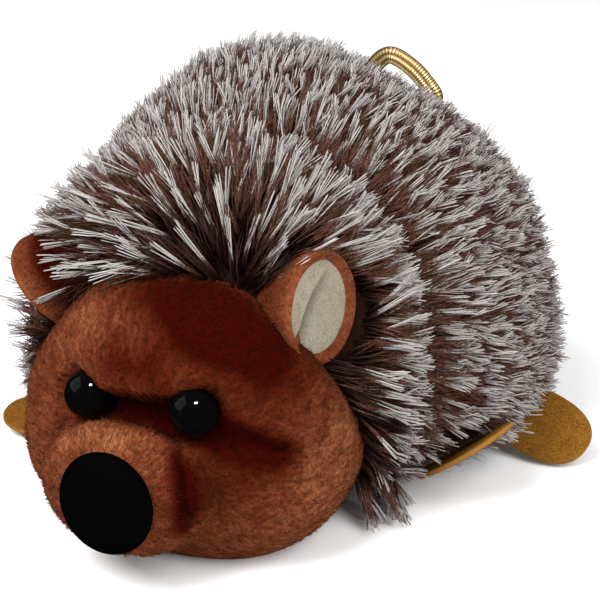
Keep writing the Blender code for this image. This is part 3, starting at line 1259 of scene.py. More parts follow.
@dataclass
class Face:
    """The plush face: one skin for the face and the muzzle, with its nap, nose and eyes."""

    nap_depth: float = 0.0009  # how far the skin lies inside the forms
    face_centre: Vec = (-0.0003, -0.0365, 0.0270)
    face_low: Vec = (0.0372, 0.0305, 0.0335)  # its reach to the right, forwards and down
    face_high: Vec = (0.0392, 0.0260, 0.0362)  # and to the left, back and up
    face_powers: Vec = (2.5, 2.4, 2.4)
    view_centre: Vec = (-0.0005, -0.0450, 0.0260)
    muzzle_blend: float = 0.0010
    left_eye_drop: float = 0.0007
    right_eye_drop: float = 0.0009
    eye_bulge: float = 0.0005
    right_eye_sink: Vec = (-0.0003, 0.0008, -0.0003)
    socket_radius: float = 0.0060
    socket_forward: float = 0.0012
    socket_blend: float = 0.0020
    rows: int = 210
    columns: int = 330
    ring_crowd: float = 1.25
    muzzle_shift: float = -0.0010
    muzzle_wider: float = 0.0012
    grooves: tuple[Groove, ...] = (
        Groove(((-0.0180, 0.0352, 0.0016), (-0.0110, 0.0368, 0.0036), (0.0010, 0.0372, 0.0040),
            (0.0100, 0.0364, 0.0036), (0.0180, 0.0342, 0.0030), (0.0240, 0.0324, 0.0022),
            (0.0310, 0.0298, 0.0010)), 1.35, 0.0016),
        Groove(((0.0128, 0.0345, 0.0010), (0.0162, 0.0300, 0.0017), (0.0176, 0.0250, 0.0013),
            (0.0178, 0.0190, 0.0004)), 1.1, 0.0016),
        Groove(((-0.0150, 0.0345, 0.0010), (-0.0188, 0.0290, 0.0014), (-0.0200, 0.0220, 0.0013),
            (-0.0180, 0.0130, 0.0008)), 1.0, 0.0014),
        Groove(((-0.0275, 0.0375, 0.0008), (-0.0220, 0.0358, 0.0012),
            (-0.0175, 0.0338, 0.0011)), 1.1, 0.0014),
        Groove(((0.0110, 0.0335, 0.0004), (0.0126, 0.0300, 0.0010), (0.0139, 0.0240, 0.0011),
            (0.0148, 0.0165, 0.0007)), 1.5, 0.0009),
        Groove(((-0.0150, 0.0310, 0.0003), (-0.0172, 0.0240, 0.0007),
            (-0.0160, 0.0150, 0.0005)), 1.0, 0.0010),
        Groove(((0.0012, 0.0130, 0.0004), (0.0012, 0.0085, 0.0010),
            (0.0012, 0.0040, 0.0008)), 1.0, 0.0012),
    )
    ridges: tuple[Ridge, ...] = (
        Ridge(((-0.0165, 0.0480, 0.0010), (-0.0125, 0.0466, 0.0028), (-0.0066, 0.0431, 0.0034),
            (0.0000, 0.0427, 0.0032), (0.0075, 0.0446, 0.0030), (0.0150, 0.0458, 0.0028),
            (0.0230, 0.0430, 0.0020)), 0.0014, 0.0032),
    )
    shaves: tuple[Shave, ...] = (
        Shave((0.0340, -0.0449, 0.0454), (0.520, 0.632, 0.575), 0.0050),
        Shave((-0.0222, -0.0536, 0.0536), (-0.800, -0.050, 0.600), 0.0060),
    )
    swells: tuple[Spot, ...] = (  # about (x, z) of the face's front
        Spot((0.0280, 0.0200), 0.0012, 0.0120),
        Spot((-0.0280, 0.0180), 0.0016, 0.0110),
    )
    relief_fade: Pair = (-0.0550, -0.0400)  # from its full height to none, along Y
    nap_tone: float = 0.50
    nap_tone_least: float = 0.02
    # Painted light and shade on the nap: paler where the amount is positive, darker in creases, hollows and
    # round the eyes where it is negative.
    patches: tuple[Patch, ...] = (
        Patch(((-0.0015, -0.0520, 0.0590), (0.0070, -0.0535, 0.0578),
            (0.0125, -0.0552, 0.0557)), -0.42, 0.0080),
        Patch(((0.0125, -0.0552, 0.0557), (0.0190, -0.0555, 0.0530),
            (0.0240, -0.0552, 0.0498)), -0.56, 0.0095),
        Patch(((0.0310, -0.0500, 0.0420),), -0.12, 0.0100),
        Patch(((-0.0055, -0.0633, 0.0466), (-0.0015, -0.0635, 0.0460),
            (0.0025, -0.0635, 0.0462)), -0.36, 0.0046),
        Patch(((0.0215, -0.0636, 0.0280), (0.0240, -0.0630, 0.0250)), -0.22, 0.0070),
        Patch(((-0.0135, -0.0600, 0.0382), (-0.0030, -0.0620, 0.0372), (0.0045, -0.0620, 0.0370),
            (0.0130, -0.0615, 0.0362), (0.0210, -0.0610, 0.0335),
            (0.0290, -0.0585, 0.0305)), -0.62, 0.0046),
        Patch(((-0.0030, -0.0630, 0.0362),), -0.22, 0.0042),
        Patch(((0.0130, -0.0615, 0.0385),), -0.32, 0.0072),
        Patch(((0.0065, -0.0645, 0.0355),), -0.30, 0.0038),
        Patch(((-0.0160, -0.0560, 0.0590),), 0.06, 0.0110),
        Patch(((0.0350, -0.0480, 0.0240),), 0.22, 0.0140),
        Patch(((-0.0330, -0.0520, 0.0280),), 0.06, 0.0100),
        Patch(((0.0075, -0.0715, 0.0345), (-0.0010, -0.0735, 0.0360),
            (-0.0130, -0.0715, 0.0325)), 0.22, 0.0050),
        Patch(((0.0116, -0.0700, 0.0335), (0.0136, -0.0716, 0.0250),
            (0.0148, -0.0735, 0.0165)), -0.54, 0.0027),
        Patch(((0.0160, -0.0690, 0.0230),), -0.26, 0.0064),
    )
    nap: Pile = Pile(
        length=0.0015, radius=0.00011, strands=3, lock_radius=0.00042, gather=0.4, root_lift=30.0,
        tip_lift=12.0, length_spread=0.16, lift_spread=6.0, turn_spread=18.0, stray=0.05, rings=(0.0,),
        ring_radii=(1.0,), sunk=0.0002,
    )
    nap_count: int = 21000
    streak_length: float = 0.0021
    streak_share: float = 0.17
    streak_rows: int = 97
    streak_columns: int = 360
    streak_limit: float = 1.6  # no streak's chance value passes it
    nap_rear: float = -0.0300  # the nap grows in front of this y
    nap_ring: float = 0.0002  # and this far from each eye
    under_nose: Vec = (0.0095, 0.0060, 0.0102)  # half-sizes of the ovoid under the nose without nap
    edge_fade: Pair = (0.0110, 0.0010)
    nose_grid: tuple[int, int] = (60, 96)
    eye_grid: tuple[int, int] = (48, 72)

    def __post_init__(self) -> None:
        """Reads the muzzle, nose and eyes from the frame and sets up the forms."""
        middle, half = middle_and_half("muzzle")
        middle = middle + np.array([self.muzzle_shift, 0.0, 0.0])
        half = half + np.array([self.muzzle_wider, 0.0, 0.0])
        self.muzzle = Ovoid(middle, half, half).shrunk(self.nap_depth)
        ball = Ovoid(self.face_centre, self.face_low, self.face_high, *self.face_powers)
        self.ball = ball.shrunk(self.nap_depth)
        left, half_eye = middle_and_half("eye_left")
        right, _ = middle_and_half("eye_right")
        self.eyes = {
            Side.LEFT: left - self.left_eye_drop * UP,
            Side.RIGHT: right - self.right_eye_drop * UP + np.array(self.right_eye_sink),
        }
        self.eye_radius = half_eye[2] + self.eye_bulge
        self.nose, self.half_nose = middle_and_half("nose")
        self.tools = [(*groove.tool(self.block), groove.blend) for groove in self.grooves]
        self.rolls = [(*ridge.tool(self.block), ridge.blend) for ridge in self.ridges]

    def block(self, points: Array) -> Array:
        """Face and muzzle as one body before anything is carved."""
        return smooth_union(self.ball.distance(points), self.muzzle.distance(points), self.muzzle_blend)

    def form(self, points: Array) -> Array:
        """The body with its folds and a socket for each eye carved out and its brow put on.

        Args:
            points: Points, shape (..., 3).

        Returns:
            The distance to it at each point, negative inside.
        """
        body = smooth_union(self.outside(points), self.muzzle.distance(points), self.muzzle_blend)
        for route, radii, blend in self.tools:
            body = smooth_cut(body, to_tube(points, route, radii), blend)
        for eye in self.eyes.values():
            middle = eye + np.array([0.0, -self.socket_forward, 0.0])
            hole = np.linalg.norm(points - middle, axis=-1) - self.socket_radius
            body = smooth_cut(body, hole, self.socket_blend)
        for route, radii, blend in self.rolls:
            body = smooth_union(body, to_tube(points, route, radii), blend)
        return body

    def relief(self, points: Array) -> Array:
        """How far swellings move the front of the skin out, in metres at each point."""
        out = spotted(points[..., [0, 2]], self.swells)
        return out * (1.0 - ease(*self.relief_fade, points[..., 1]))

    def brushed(self, points: Array) -> Array:
        """How pale the nap is, about a half, with the painted light and shade of the patches added."""
        lines = sum(patch.amount * trail(points, patch.corners, patch.spread) for patch in self.patches)
        return np.clip(self.nap_tone + lines, self.nap_tone_least, 1.0)

    def streaked(self, points: Array) -> Array:
        """How pale the nap is with the long soft streaks in it that run away from the nose.

        Chance values stand in a table by reach from the nose and by angle about it; each
        column of the table starts at its own reach, so that the streaks' ends lie scattered.

        Args:
            points: Places on the face.

        Returns:
            The paleness at each of them.
        """
        rng = Seed.STREAKS.chance()
        rows, columns = self.streak_rows, self.streak_columns
        table = rng.normal(size=(rows, columns))
        shift = rng.random(columns)
        away = points - self.nose
        turns = (np.arctan2(away[..., 2], away[..., 0]) / (2.0 * np.pi)) % 1.0
        column = (turns * columns).astype(int) % columns
        row = (np.linalg.norm(away, axis=-1) / self.streak_length + shift[column]).astype(int) % rows
        chance = np.clip(table[row, column], -self.streak_limit, self.streak_limit)
        return self.brushed(points) * (1.0 + self.streak_share * chance)

    def outside(self, points: Array) -> Array:
        """Distance to the face's ball with its corners taken off.

        Args:
            points: Points, shape (..., 3).

        Returns:
            The distance at each point, negative inside.
        """
        ball = self.ball.distance(points)
        for shave in self.shaves:
            ball = smooth_cut(ball, shave.beyond(points), shave.blend)
        return ball

    def covers(self, points: Array, margin: float) -> Array:
        """True where a point lies in the face, or within a margin of it."""
        return self.outside(points) < margin

    def nearness(self, points: Array) -> Array:
        """One at the face's edge, fading to zero a little way into the long pile."""
        return ease(*self.edge_fade, self.outside(points))

    def make(self, finishes: Finishes) -> None:
        """Builds the skin and its nap, the nose and the eyes.

        Args:
            finishes: The toy's finishes.
        """
        rays = sphere_rays(self.rows, self.columns, pole=1, crowd=self.ring_crowd)
        grid = cast(self.form, self.view_centre, rays, reach=0.07)
        normals = slope(self.form, grid)
        grid = grid + normals * self.relief(grid)[..., None]
        grid[..., 2] = np.maximum(grid[..., 2], FLOOR_AIR)
        normals = grid_normals(grid)
        skin = closed_piece("face_skin", grid)
        set_values(skin, "frost", grid_values(self.streaked(grid)))
        dress(skin, Slot.SHORT_PILE, finishes.short_pile)
        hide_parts("face", "muzzle")
        self.grow_nap(grid, normals, finishes.short_pile)
        self.make_nose(finishes.flock)
        for side in Side:
            self.make_eye(side, finishes.bead)

    def grow_nap(self, grid: Array, normals: Array, material: Material) -> None:
        """Grows the nap away from the nose, over all of the face that shows.

        Args:
            grid: The skin's points.
            normals: Its normals.
            material: The nap's finish.
        """
        rng = Seed.FACE_NAP.chance()
        roots = sow(grid, normals, self.nap_count, rng)
        shows = (roots.place[:, 1] < self.nap_rear) & (roots.place[:, 2] > 2.0 * FLOOR_AIR)
        under_nose = np.linalg.norm((roots.place - self.nose) / np.array(self.under_nose), axis=1) < 1.0
        bare = self.eye_radius + self.nap_ring
        in_eye = [np.linalg.norm(roots.place - eye, axis=1) < bare for eye in self.eyes.values()]
        roots = roots.only(shows & ~under_nose & ~in_eye[0] & ~in_eye[1])
        away = roots.place - self.nose
        nap = grow("face_nap", roots, away, self.nap, rng, frost=self.streaked(roots.place))
        dress(nap, Slot.SHORT_PILE, material)

    def make_nose(self, material: Material) -> None:
        """Builds a flocked ellipsoid.

        Args:
            material: Its finish.
        """
        grid = Ovoid(self.nose, self.half_nose, self.half_nose).grid(*self.nose_grid)
        piece = dress(closed_piece("nose_flocked", grid), Slot.FLOCK, material)
        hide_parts("nose")

    def make_eye(self, side: Side, material: Material) -> None:
        """Builds a glossy bead in its socket.

        Args:
            side: Its side of the face.
            material: Its finish.
        """
        half = (self.eye_radius,) * 3
        grid = Ovoid(self.eyes[side], half, half).grid(*self.eye_grid)
        piece = dress(closed_piece(f"eye_{side.word}_bead", grid), Slot.BEAD, material)
        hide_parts("eye_" + side.word)


# ---------------------------------------------------------------- the furry hide


@dataclass(frozen=True)
class Sweep:
    """A place where the pile is brushed to one side."""

    centre: Vec
    along: Vec
    strength: float
    spread: float


@dataclass(frozen=True)
class Clearing:
    """An ellipsoid kept clear of the long pile: its middle, its half-sizes and its axes as columns."""

    centre: Array
    half: Array
    frame: Array

    def holds(self, points: Array) -> Array:
        """True for each point inside."""
        return self.distance(points) < 0.0

    def distance(self, points: Array) -> Array:
        """Distance to the surface along the line to the centre.

        Args:
            points: Points, shape (..., 3).

        Returns:
            The distance at each point, negative inside.
        """
        own = (points - self.centre) @ self.frame
        size = np.maximum(np.linalg.norm(own / self.half, axis=-1), 1e-9)
        return np.linalg.norm(own, axis=-1) * (1.0 - 1.0 / size)


@dataclass
class Hide:
    """The backing of the long pile over body and hood, and the pile itself."""

    pockets: tuple[Clearing, ...]  # the room that each ear takes out of the hood
    pocket_margin: float = 0.0005  # and how far from it the nearest lock grows
    pile_depth: float = 0.0097
    hood_depth: float = 0.0087
    swells: tuple[Spot, ...] = (  # out of the hide, or into it
        Spot((0.0200, 0.0400, 0.0880), -0.0044, 0.0190),
        Spot((0.0370, 0.0450, 0.0760), -0.0008, 0.0130),
        Spot((0.0510, 0.0460, 0.0580), 0.0018, 0.0120),
        Spot((0.0590, 0.0450, 0.0220), 0.0012, 0.0150),
        Spot((-0.0220, 0.0240, 0.0910), 0.0022, 0.0160),
        Spot((-0.0560, -0.0060, 0.0130), 0.0060, 0.0110),
        Spot((0.0064, -0.0387, 0.0790), -0.0050, 0.0080),
    )
    bare: tuple[Spot, ...] = (Spot((0.0084, -0.0420, 0.0725), 1.0, 0.0048),)
    paler: tuple[Spot, ...] = (Spot((0.0370, -0.0290, 0.0560), 1.0, 0.0110),)
    # The middle and half-sizes of a bare place under the front left foot.
    gap: tuple[Vec, Vec] = ((0.0505, -0.0060, 0.0010), (0.0070, 0.0120, 0.0040))
    tuft_place: Vec = (0.0388, -0.0195, 0.0080)
    tuft_along: Vec = (0.50, -0.80, -0.35)
    tuft_hang: Vec = (0.35, -0.10, -0.93)
    tuft_locks: int = 32
    tuft_lift: float = 24.0
    tuft_flare: float = 0.15  # how much of each root's own normal is left in it
    tuft_reach: Pair = (1.05, 0.35)  # the least, and the most more
    tuft_frost: Pair = (0.55, 0.50)
    hood_flatter: float = 10.0
    long_locks: tuple[Spot, ...] = (
        Spot((-0.0180, -0.0450, 0.0610), 0.10, 0.0120),
        Spot((0.0000, -0.0450, 0.0660), 0.15, 0.0240),
    )
    body_centre: Vec = (0.0, 0.0228, 0.0215)
    body_front: float = 0.0660
    body_powers: Vec = (2.3, 1.92, 4.0)
    hood_centre: Vec = (0.0, -0.0260, 0.0375)
    hood_low: Vec = (0.0480, 0.0330, 0.0390)  # its reach to the right, forwards and down
    hood_high: Vec = (0.0480, 0.0330, 0.0495)  # and to the left, back and up
    hood_powers: Vec = (2.1, 2.1, 3.1)
    join_blend: float = 0.0060
    pocket_blend: float = 0.0030
    floor_height: float = 0.0030  # the backing keeps above it
    floor_blend: float = 0.0030
    view_centre: Vec = (0.0, 0.0050, 0.0320)
    brow: Vec = (0.0, -0.0600, 0.0450)  # the pile on the body lies away from here
    parting: Vec = (0.0160, -0.0570, 0.0560)  # and on the hood away from here
    hood_top: Vec = (0.0, -0.0480, 0.0620)
    hood_spread: float = 0.0500
    sweeps: tuple[Sweep, ...] = (
        Sweep((-0.0170, -0.0470, 0.0600), (-1.0, -0.10, -0.25), 3.0, 0.0130),
        Sweep((-0.0020, -0.0500, 0.0630), (-1.0, -0.15, -0.40), 1.3, 0.0090),
        Sweep((-0.0540, -0.0060, 0.0130), (-0.5, -0.60, -0.50), 2.0, 0.0100),
    )
    rows: int = 150
    columns: int = 200
    frosted_locks: int = 11500
    frosted_pieces: int = 6
    frosted: Pile = Pile(
        length=0.0142, radius=0.00015, strands=5, lock_radius=0.00044, gather=0.25, root_lift=58.0,
        tip_lift=12.0, length_spread=0.06, lift_spread=4.0, turn_spread=17.0, stray=0.034,
        rings=(0.0, 0.48, 0.96), ring_radii=(1.0, 1.05, 0.95),
    )
    under_locks: int = 12500
    under_pieces: int = 3
    under: Pile = Pile(
        length=0.0126, radius=0.00014, strands=5, lock_radius=0.0014, gather=0.30, root_lift=60.0,
        tip_lift=22.0, length_spread=0.08, lift_spread=4.5, turn_spread=18.0, stray=0.055,
        rings=(0.0, 0.55), ring_radii=(1.0, 0.9),
    )
    hood_fewer: float = 0.54  # the share of pale locks left out on the hood
    edge_fewer: float = 0.10  # beside the face
    fold_fewer: float = 0.85  # in the folds
    most_fewer: float = 0.97
    frost_start: float = 0.69
    frost_spread: float = 0.20
    hood_frost: float = 0.33  # how much sooner the tips turn pale on the hood
    early_frost: float = 0.30  # and where they do so early
    tipped_share: float = 0.15  # of the brown locks
    tipped_start: float = 0.86
    untipped: float = 2.0
    roots_in_face: float = -0.0012  # how deep in the face's edge a root may stand
    paths_in_face: float = -0.0002  # and a lock may pass
    belly_facing: float = -0.85  # none grows where the skin faces down more than this
    belly_height: float = 0.0060  # below this height
    path_shares: Vec = (0.35, 0.7, 1.0)  # where a lock's path is looked at
    path_run: float = 0.78  # how far along the skin it runs for its length
    path_rise: Pair = (0.85, 0.25)  # and away from it: at the root, and how much less at the tip

    def __post_init__(self) -> None:
        """Sets up the forms of body and hood, the body's reach read from the frame's box, a pile's depth
        inside them.
        """
        _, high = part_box("body")
        _, y, z = self.body_centre
        low, reach = (high[0], self.body_front, z), (high[0], high[1] - y, high[2] - z)
        self.inner_body = Ovoid(self.body_centre, low, reach, *self.body_powers).shrunk(self.pile_depth)
        hood = Ovoid(self.hood_centre, self.hood_low, self.hood_high, *self.hood_powers)
        self.inner_hood = hood.shrunk(self.hood_depth)

    def form(self, points: Array) -> Array:
        """Body and hood as one soft body above the floor, hollowed where an ear sits.

        Args:
            points: Points, shape (..., 3).

        Returns:
            The distance to it at each point, negative inside.
        """
        body, hood = self.inner_body.distance(points), self.inner_hood.distance(points)
        both = smooth_union(body, hood, self.join_blend)
        for pocket in self.pockets:
            both = smooth_cut(both, pocket.distance(points), self.pocket_blend)
        return smooth_cut(both, points[..., 2] - self.floor_height, self.floor_blend)

    def make(self, face: Face, keep_clear: list[Clearing], finishes: Finishes) -> None:
        """Builds the backing and grows the pile all over it but for the face and the belly.

        Args:
            face: The face, which has no long pile.
            keep_clear: Shapes that no lock may pass through.
            finishes: The toy's finishes.
        """
        rays = sphere_rays(self.rows, self.columns, pole=1)
        grid = cast(self.form, self.view_centre, rays, reach=0.12)
        normals = slope(self.form, grid)
        grid = grid + normals * spotted(grid, self.swells)[..., None]
        normals = grid_normals(grid)
        skin = dress(closed_piece("hide_backing", grid), Slot.LONG_PILE, finishes.backing)
        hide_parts("body", "head")
        clear = self.clear_of(face, keep_clear)
        frosted = clear(sow(grid, normals, self.frosted_locks, Seed.FROSTED_ROOTS.chance()))
        self.grow_frosted(frosted, face, finishes.long_pile)
        self.grow_tuft(frosted, finishes.long_pile)
        brown = clear(sow(grid, normals, self.under_locks, Seed.BROWN_ROOTS.chance()))
        self.grow_under(brown, face, finishes.long_pile)

    def hoodness(self, points: Array) -> Array:
        """One on top of the hood, fading to zero down the body."""
        return hill(points, self.hood_top, self.hood_spread)

    def lay(self, roots: Roots) -> Array:
        """The way the pile lies: away from the brow or the parting, swept aside where it was brushed.

        Args:
            roots: Where it grows.

        Returns:
            Unit vectors along the skin.
        """
        share = self.hoodness(roots.place)[:, None]
        away = unit(roots.place - np.array(self.brow) * (1.0 - share) - np.array(self.parting) * share)
        for sweep in self.sweeps:
            weight = sweep.strength * hill(roots.place, sweep.centre, sweep.spread)
            away = away + weight[:, None] * np.array(sweep.along)
        return tangent(away, roots.normal)

    def reach(self, roots: Roots) -> Array:
        """A factor on each lock's length, more than one where the locks are long."""
        return 1.0 + spotted(roots.place, self.long_locks)

    def clear_of(self, face: Face, keep_clear: list[Clearing]) -> Callable[[Roots], Roots]:
        """A rule that drops the locks on the face and the belly and those that pass a clearing.

        Args:
            face: The face, which has no long pile.
            keep_clear: Shapes that no lock may pass through.

        Returns:
            A function from roots to the roots that are left.
        """
        gap = Clearing(np.array(self.gap[0]), np.array(self.gap[1]), np.eye(3))

        def rule(roots: Roots) -> Roots:
            """Drops roots.

            Args:
                roots: The roots.

            Returns:
                Those that are left.
            """
            below = (roots.normal[:, 2] < self.belly_facing) & (roots.place[:, 2] < self.belly_height)
            keep = ~face.covers(roots.place, self.roots_in_face) & ~below
            for pocket in self.pockets:
                keep &= pocket.distance(roots.place) > self.pocket_margin
            lay = self.lay(roots)
            for share in self.path_shares:
                along = self.frosted.length * share
                rise = self.path_rise[0] - self.path_rise[1] * share
                passing = roots.place + (self.path_run * along) * lay + (along * rise) * roots.normal
                keep &= ~face.covers(passing, self.paths_in_face)
                for clearing in (*keep_clear, gap):
                    keep &= ~clearing.holds(passing)
            return roots.only(keep)

        return rule

    def lift(self, roots: Roots) -> Array:
        """Degrees added to each lock's lift: the hood's pile lies flatter than the body's."""
        return -self.hood_flatter * self.hoodness(roots.place)

    def early(self, places: Array) -> Array:
        """One where the pale tips reach nearly down to the roots."""
        return spotted(places, self.paler)

    def folded(self, places: Array) -> Array:
        """One in the folds, where few tips are pale and the brown locks carry painted shade."""
        return spotted(places, self.bare)

    def fewer(self, places: Array, face: Face) -> Array:
        """The share of pale locks left out: more on the hood, near the face and at the neck's fold.

        Args:
            places: Places on the hide.
            face: The face.

        Returns:
            The share at each place.
        """
        open_side = 1.0 - self.early(places)
        share = self.hood_fewer * self.hoodness(places) + self.edge_fewer * face.nearness(places)
        return np.clip(share * open_side + self.fold_fewer * self.folded(places), 0.0, self.most_fewer)

    @staticmethod
    def sectors(word: str, roots: Roots, count: int) -> Iterator[tuple[str, Roots]]:
        """Splits roots into sectors about the toy's length.

        Args:
            word: The word in the pieces' names.
            roots: The roots.
            count: How many sectors to make.

        Yields:
            Each sector's name and roots.
        """
        order = np.argsort(roots.unwrap[:, 0])
        for number, part in enumerate(np.array_split(order, count), start=1):
            yield f"coat_{word}_{number:02d}", roots.only(part)

    def plant(
        self,
        name: str,
        roots: Roots,
        pile: Pile,
        frost: Array,
        rng: Rng,
        material: Material,
    ) -> None:
        """Grows a piece of long pile that lies as the hide is brushed.

        Args:
            name: The piece's name.
            roots: One root for each lock.
            pile: How the pile grows.
            frost: Where each lock turns pale.
            rng: The source of chance.
            material: The pile's finish.
        """
        lay, reach, lift = self.lay(roots), self.reach(roots), self.lift(roots)
        piece = grow(name, roots, lay, pile, rng, reach=reach, lift=lift, frost=frost)
        dress(piece, Slot.LONG_PILE, material)

    def grow_frosted(self, roots: Roots, face: Face, material: Material) -> None:
        """Grows the pale-tipped locks.

        Args:
            roots: Where locks may grow.
            face: The face.
            material: The pile's finish.
        """
        rng = Seed.FROSTED_LOCKS.chance()
        for name, sector in self.sectors("frosted", roots, self.frosted_pieces):
            sector = sector.only(rng.random(len(sector)) > self.fewer(sector.place, face))
            start = self.frost_start - self.hood_frost * self.hoodness(sector.place)
            frost = start + self.frost_spread * rng.random(len(sector))
            frost = frost - self.early_frost * self.early(sector.place)
            self.plant(name, sector, self.frosted, frost, rng, material)

    def grow_tuft(self, roots: Roots, material: Material) -> None:
        """Grows the ragged tuft that sticks out below the cheek, from the roots nearest its place.

        Args:
            roots: The pale-tipped locks' roots.
            material: The pile's finish.
        """
        rng = Seed.TUFT.chance()
        order = np.argsort(np.linalg.norm(roots.place - np.array(self.tuft_place), axis=1))
        picked = roots.only(order[: self.tuft_locks])
        count = len(picked)
        normal = unit(self.tuft_flare * picked.normal + np.array(self.tuft_along))
        picked = Roots(picked.place, normal, picked.unwrap)
        hang = np.tile(np.array(self.tuft_hang), (count, 1))
        spans = (self.tuft_reach, self.tuft_frost)
        reach, frost = (least + more * rng.random(count) for least, more in spans)
        lift = np.full(count, self.tuft_lift)
        piece = grow("coat_tuft", picked, hang, self.frosted, rng, reach=reach, lift=lift, frost=frost)
        dress(piece, Slot.LONG_PILE, material)

    def grow_under(self, roots: Roots, face: Face, material: Material) -> None:
        """Grows the brown locks between them, darkened with painted shade to nearly black beside the face
        and in the neck's fold.

        Args:
            roots: Where the locks grow.
            face: The face.
            material: The pile's finish.
        """
        rng = Seed.BROWN_LOCKS.chance()
        for name, sector in self.sectors("brown", roots, self.under_pieces):
            # Painted shade: the brown darkens beside the face and in the neck's fold.
            dark = face.nearness(sector.place) * (1.0 - self.early(sector.place)) + self.folded(sector.place)
            tipped = rng.random(len(sector)) < self.tipped_share
            frost = np.where(tipped, self.tipped_start, self.untipped + np.minimum(dark, 1.0))
            self.plant(name, sector, self.under, frost, rng, material)


@dataclass
class Belly:
    """The short-pile panel under the toy."""

    powers: Vec = (2.0, 4.0, 4.0)
    nap_tone: float = 0.55
    rows: int = 30
    columns: int = 96

    def make(self, finishes: Finishes) -> None:
        """A pad in the panel's box, flat below and rounded at its edge.

        Args:
            finishes: The toy's finishes.
        """
        middle, half = middle_and_half("belly")
        grid = Ovoid(middle, half, half, *self.powers).grid(self.rows, self.columns)
        piece = closed_piece("belly_panel", grid)
        set_values(piece, "frost", np.full(len(piece.data.vertices), self.nap_tone))
        dress(piece, Slot.SHORT_PILE, finishes.short_pile)
        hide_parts("belly")


# ---------------------------------------------------------------- ears, feet and loop


@dataclass(frozen=True)
class Lining:
    """The cream pad in an ear's cup: a dished oval with a fold along its length.

    The pad is worked out with its own half-sizes as one. The fold runs beside the line
    across + offset = slant * up, as a groove between the pad and a roll of it.
    """

    rows: int = 40
    columns: int = 72
    width: float = 0.91  # of the ear's half-width
    height: float = 0.89  # of its half-height
    floor: float = -0.0026  # where the dish's edge lies along the ear's Y axis
    dish: float = 0.0016  # and how much further back its middle lies
    front: float = 0.0004  # how far its face stands before the dish
    back: float = 0.0014  # and its back behind it
    rim: float = 0.0010  # how far its edge turns back
    offset: float = 0.26
    slant: float = 0.97
    slant_length: float = 1.39  # of (1, slant)
    groove_width: float = 0.15
    groove_ends: Pair = (0.62, 0.22)
    groove_depth: float = 0.0015
    groove_shade: float = 0.8
    roll_offset: float = 0.26
    roll_width: float = 0.18
    roll_height: float = 0.0011
    fold_fade: Pair = (1.0, 0.6)

    def surface(self, sign: float, half_width: float, half_height: float) -> tuple[Array, Array]:
        """The pad's surface in its ear's own axes.

        Args:
            sign: One for the left ear, minus one for the right.
            half_width: The ear's half-width.
            half_height: The ear's half-height.

        Returns:
            Points on a closed grid, and how much painted shade each takes in the groove.
        """
        one = (1.0, 1.0, 1.0)
        pad = Ovoid((0.0, 0.0, 0.0), one, one).grid(self.rows, self.columns)
        across, up = pad[..., 0], pad[..., 1]
        round_out = across**2 + up**2
        dish = self.floor + self.dish * (1.0 - round_out)
        aside = (sign * across + self.offset - self.slant * up) / self.slant_length
        groove = np.exp(-((aside / self.groove_width) ** 2)) * ease(*self.groove_ends, up)
        roll = np.exp(-(((aside + self.roll_offset) / self.roll_width) ** 2))
        fold = (self.roll_height * roll - self.groove_depth * groove) * ease(*self.fold_fade, round_out)
        depth = np.where(pad[..., 2] > 0.0, dish - self.front - fold, dish + self.back)
        depth = depth + self.rim * round_out**4
        oval = [across * half_width * self.width, depth, up * half_height * self.height]
        return np.stack(oval, axis=-1), self.groove_shade * groove


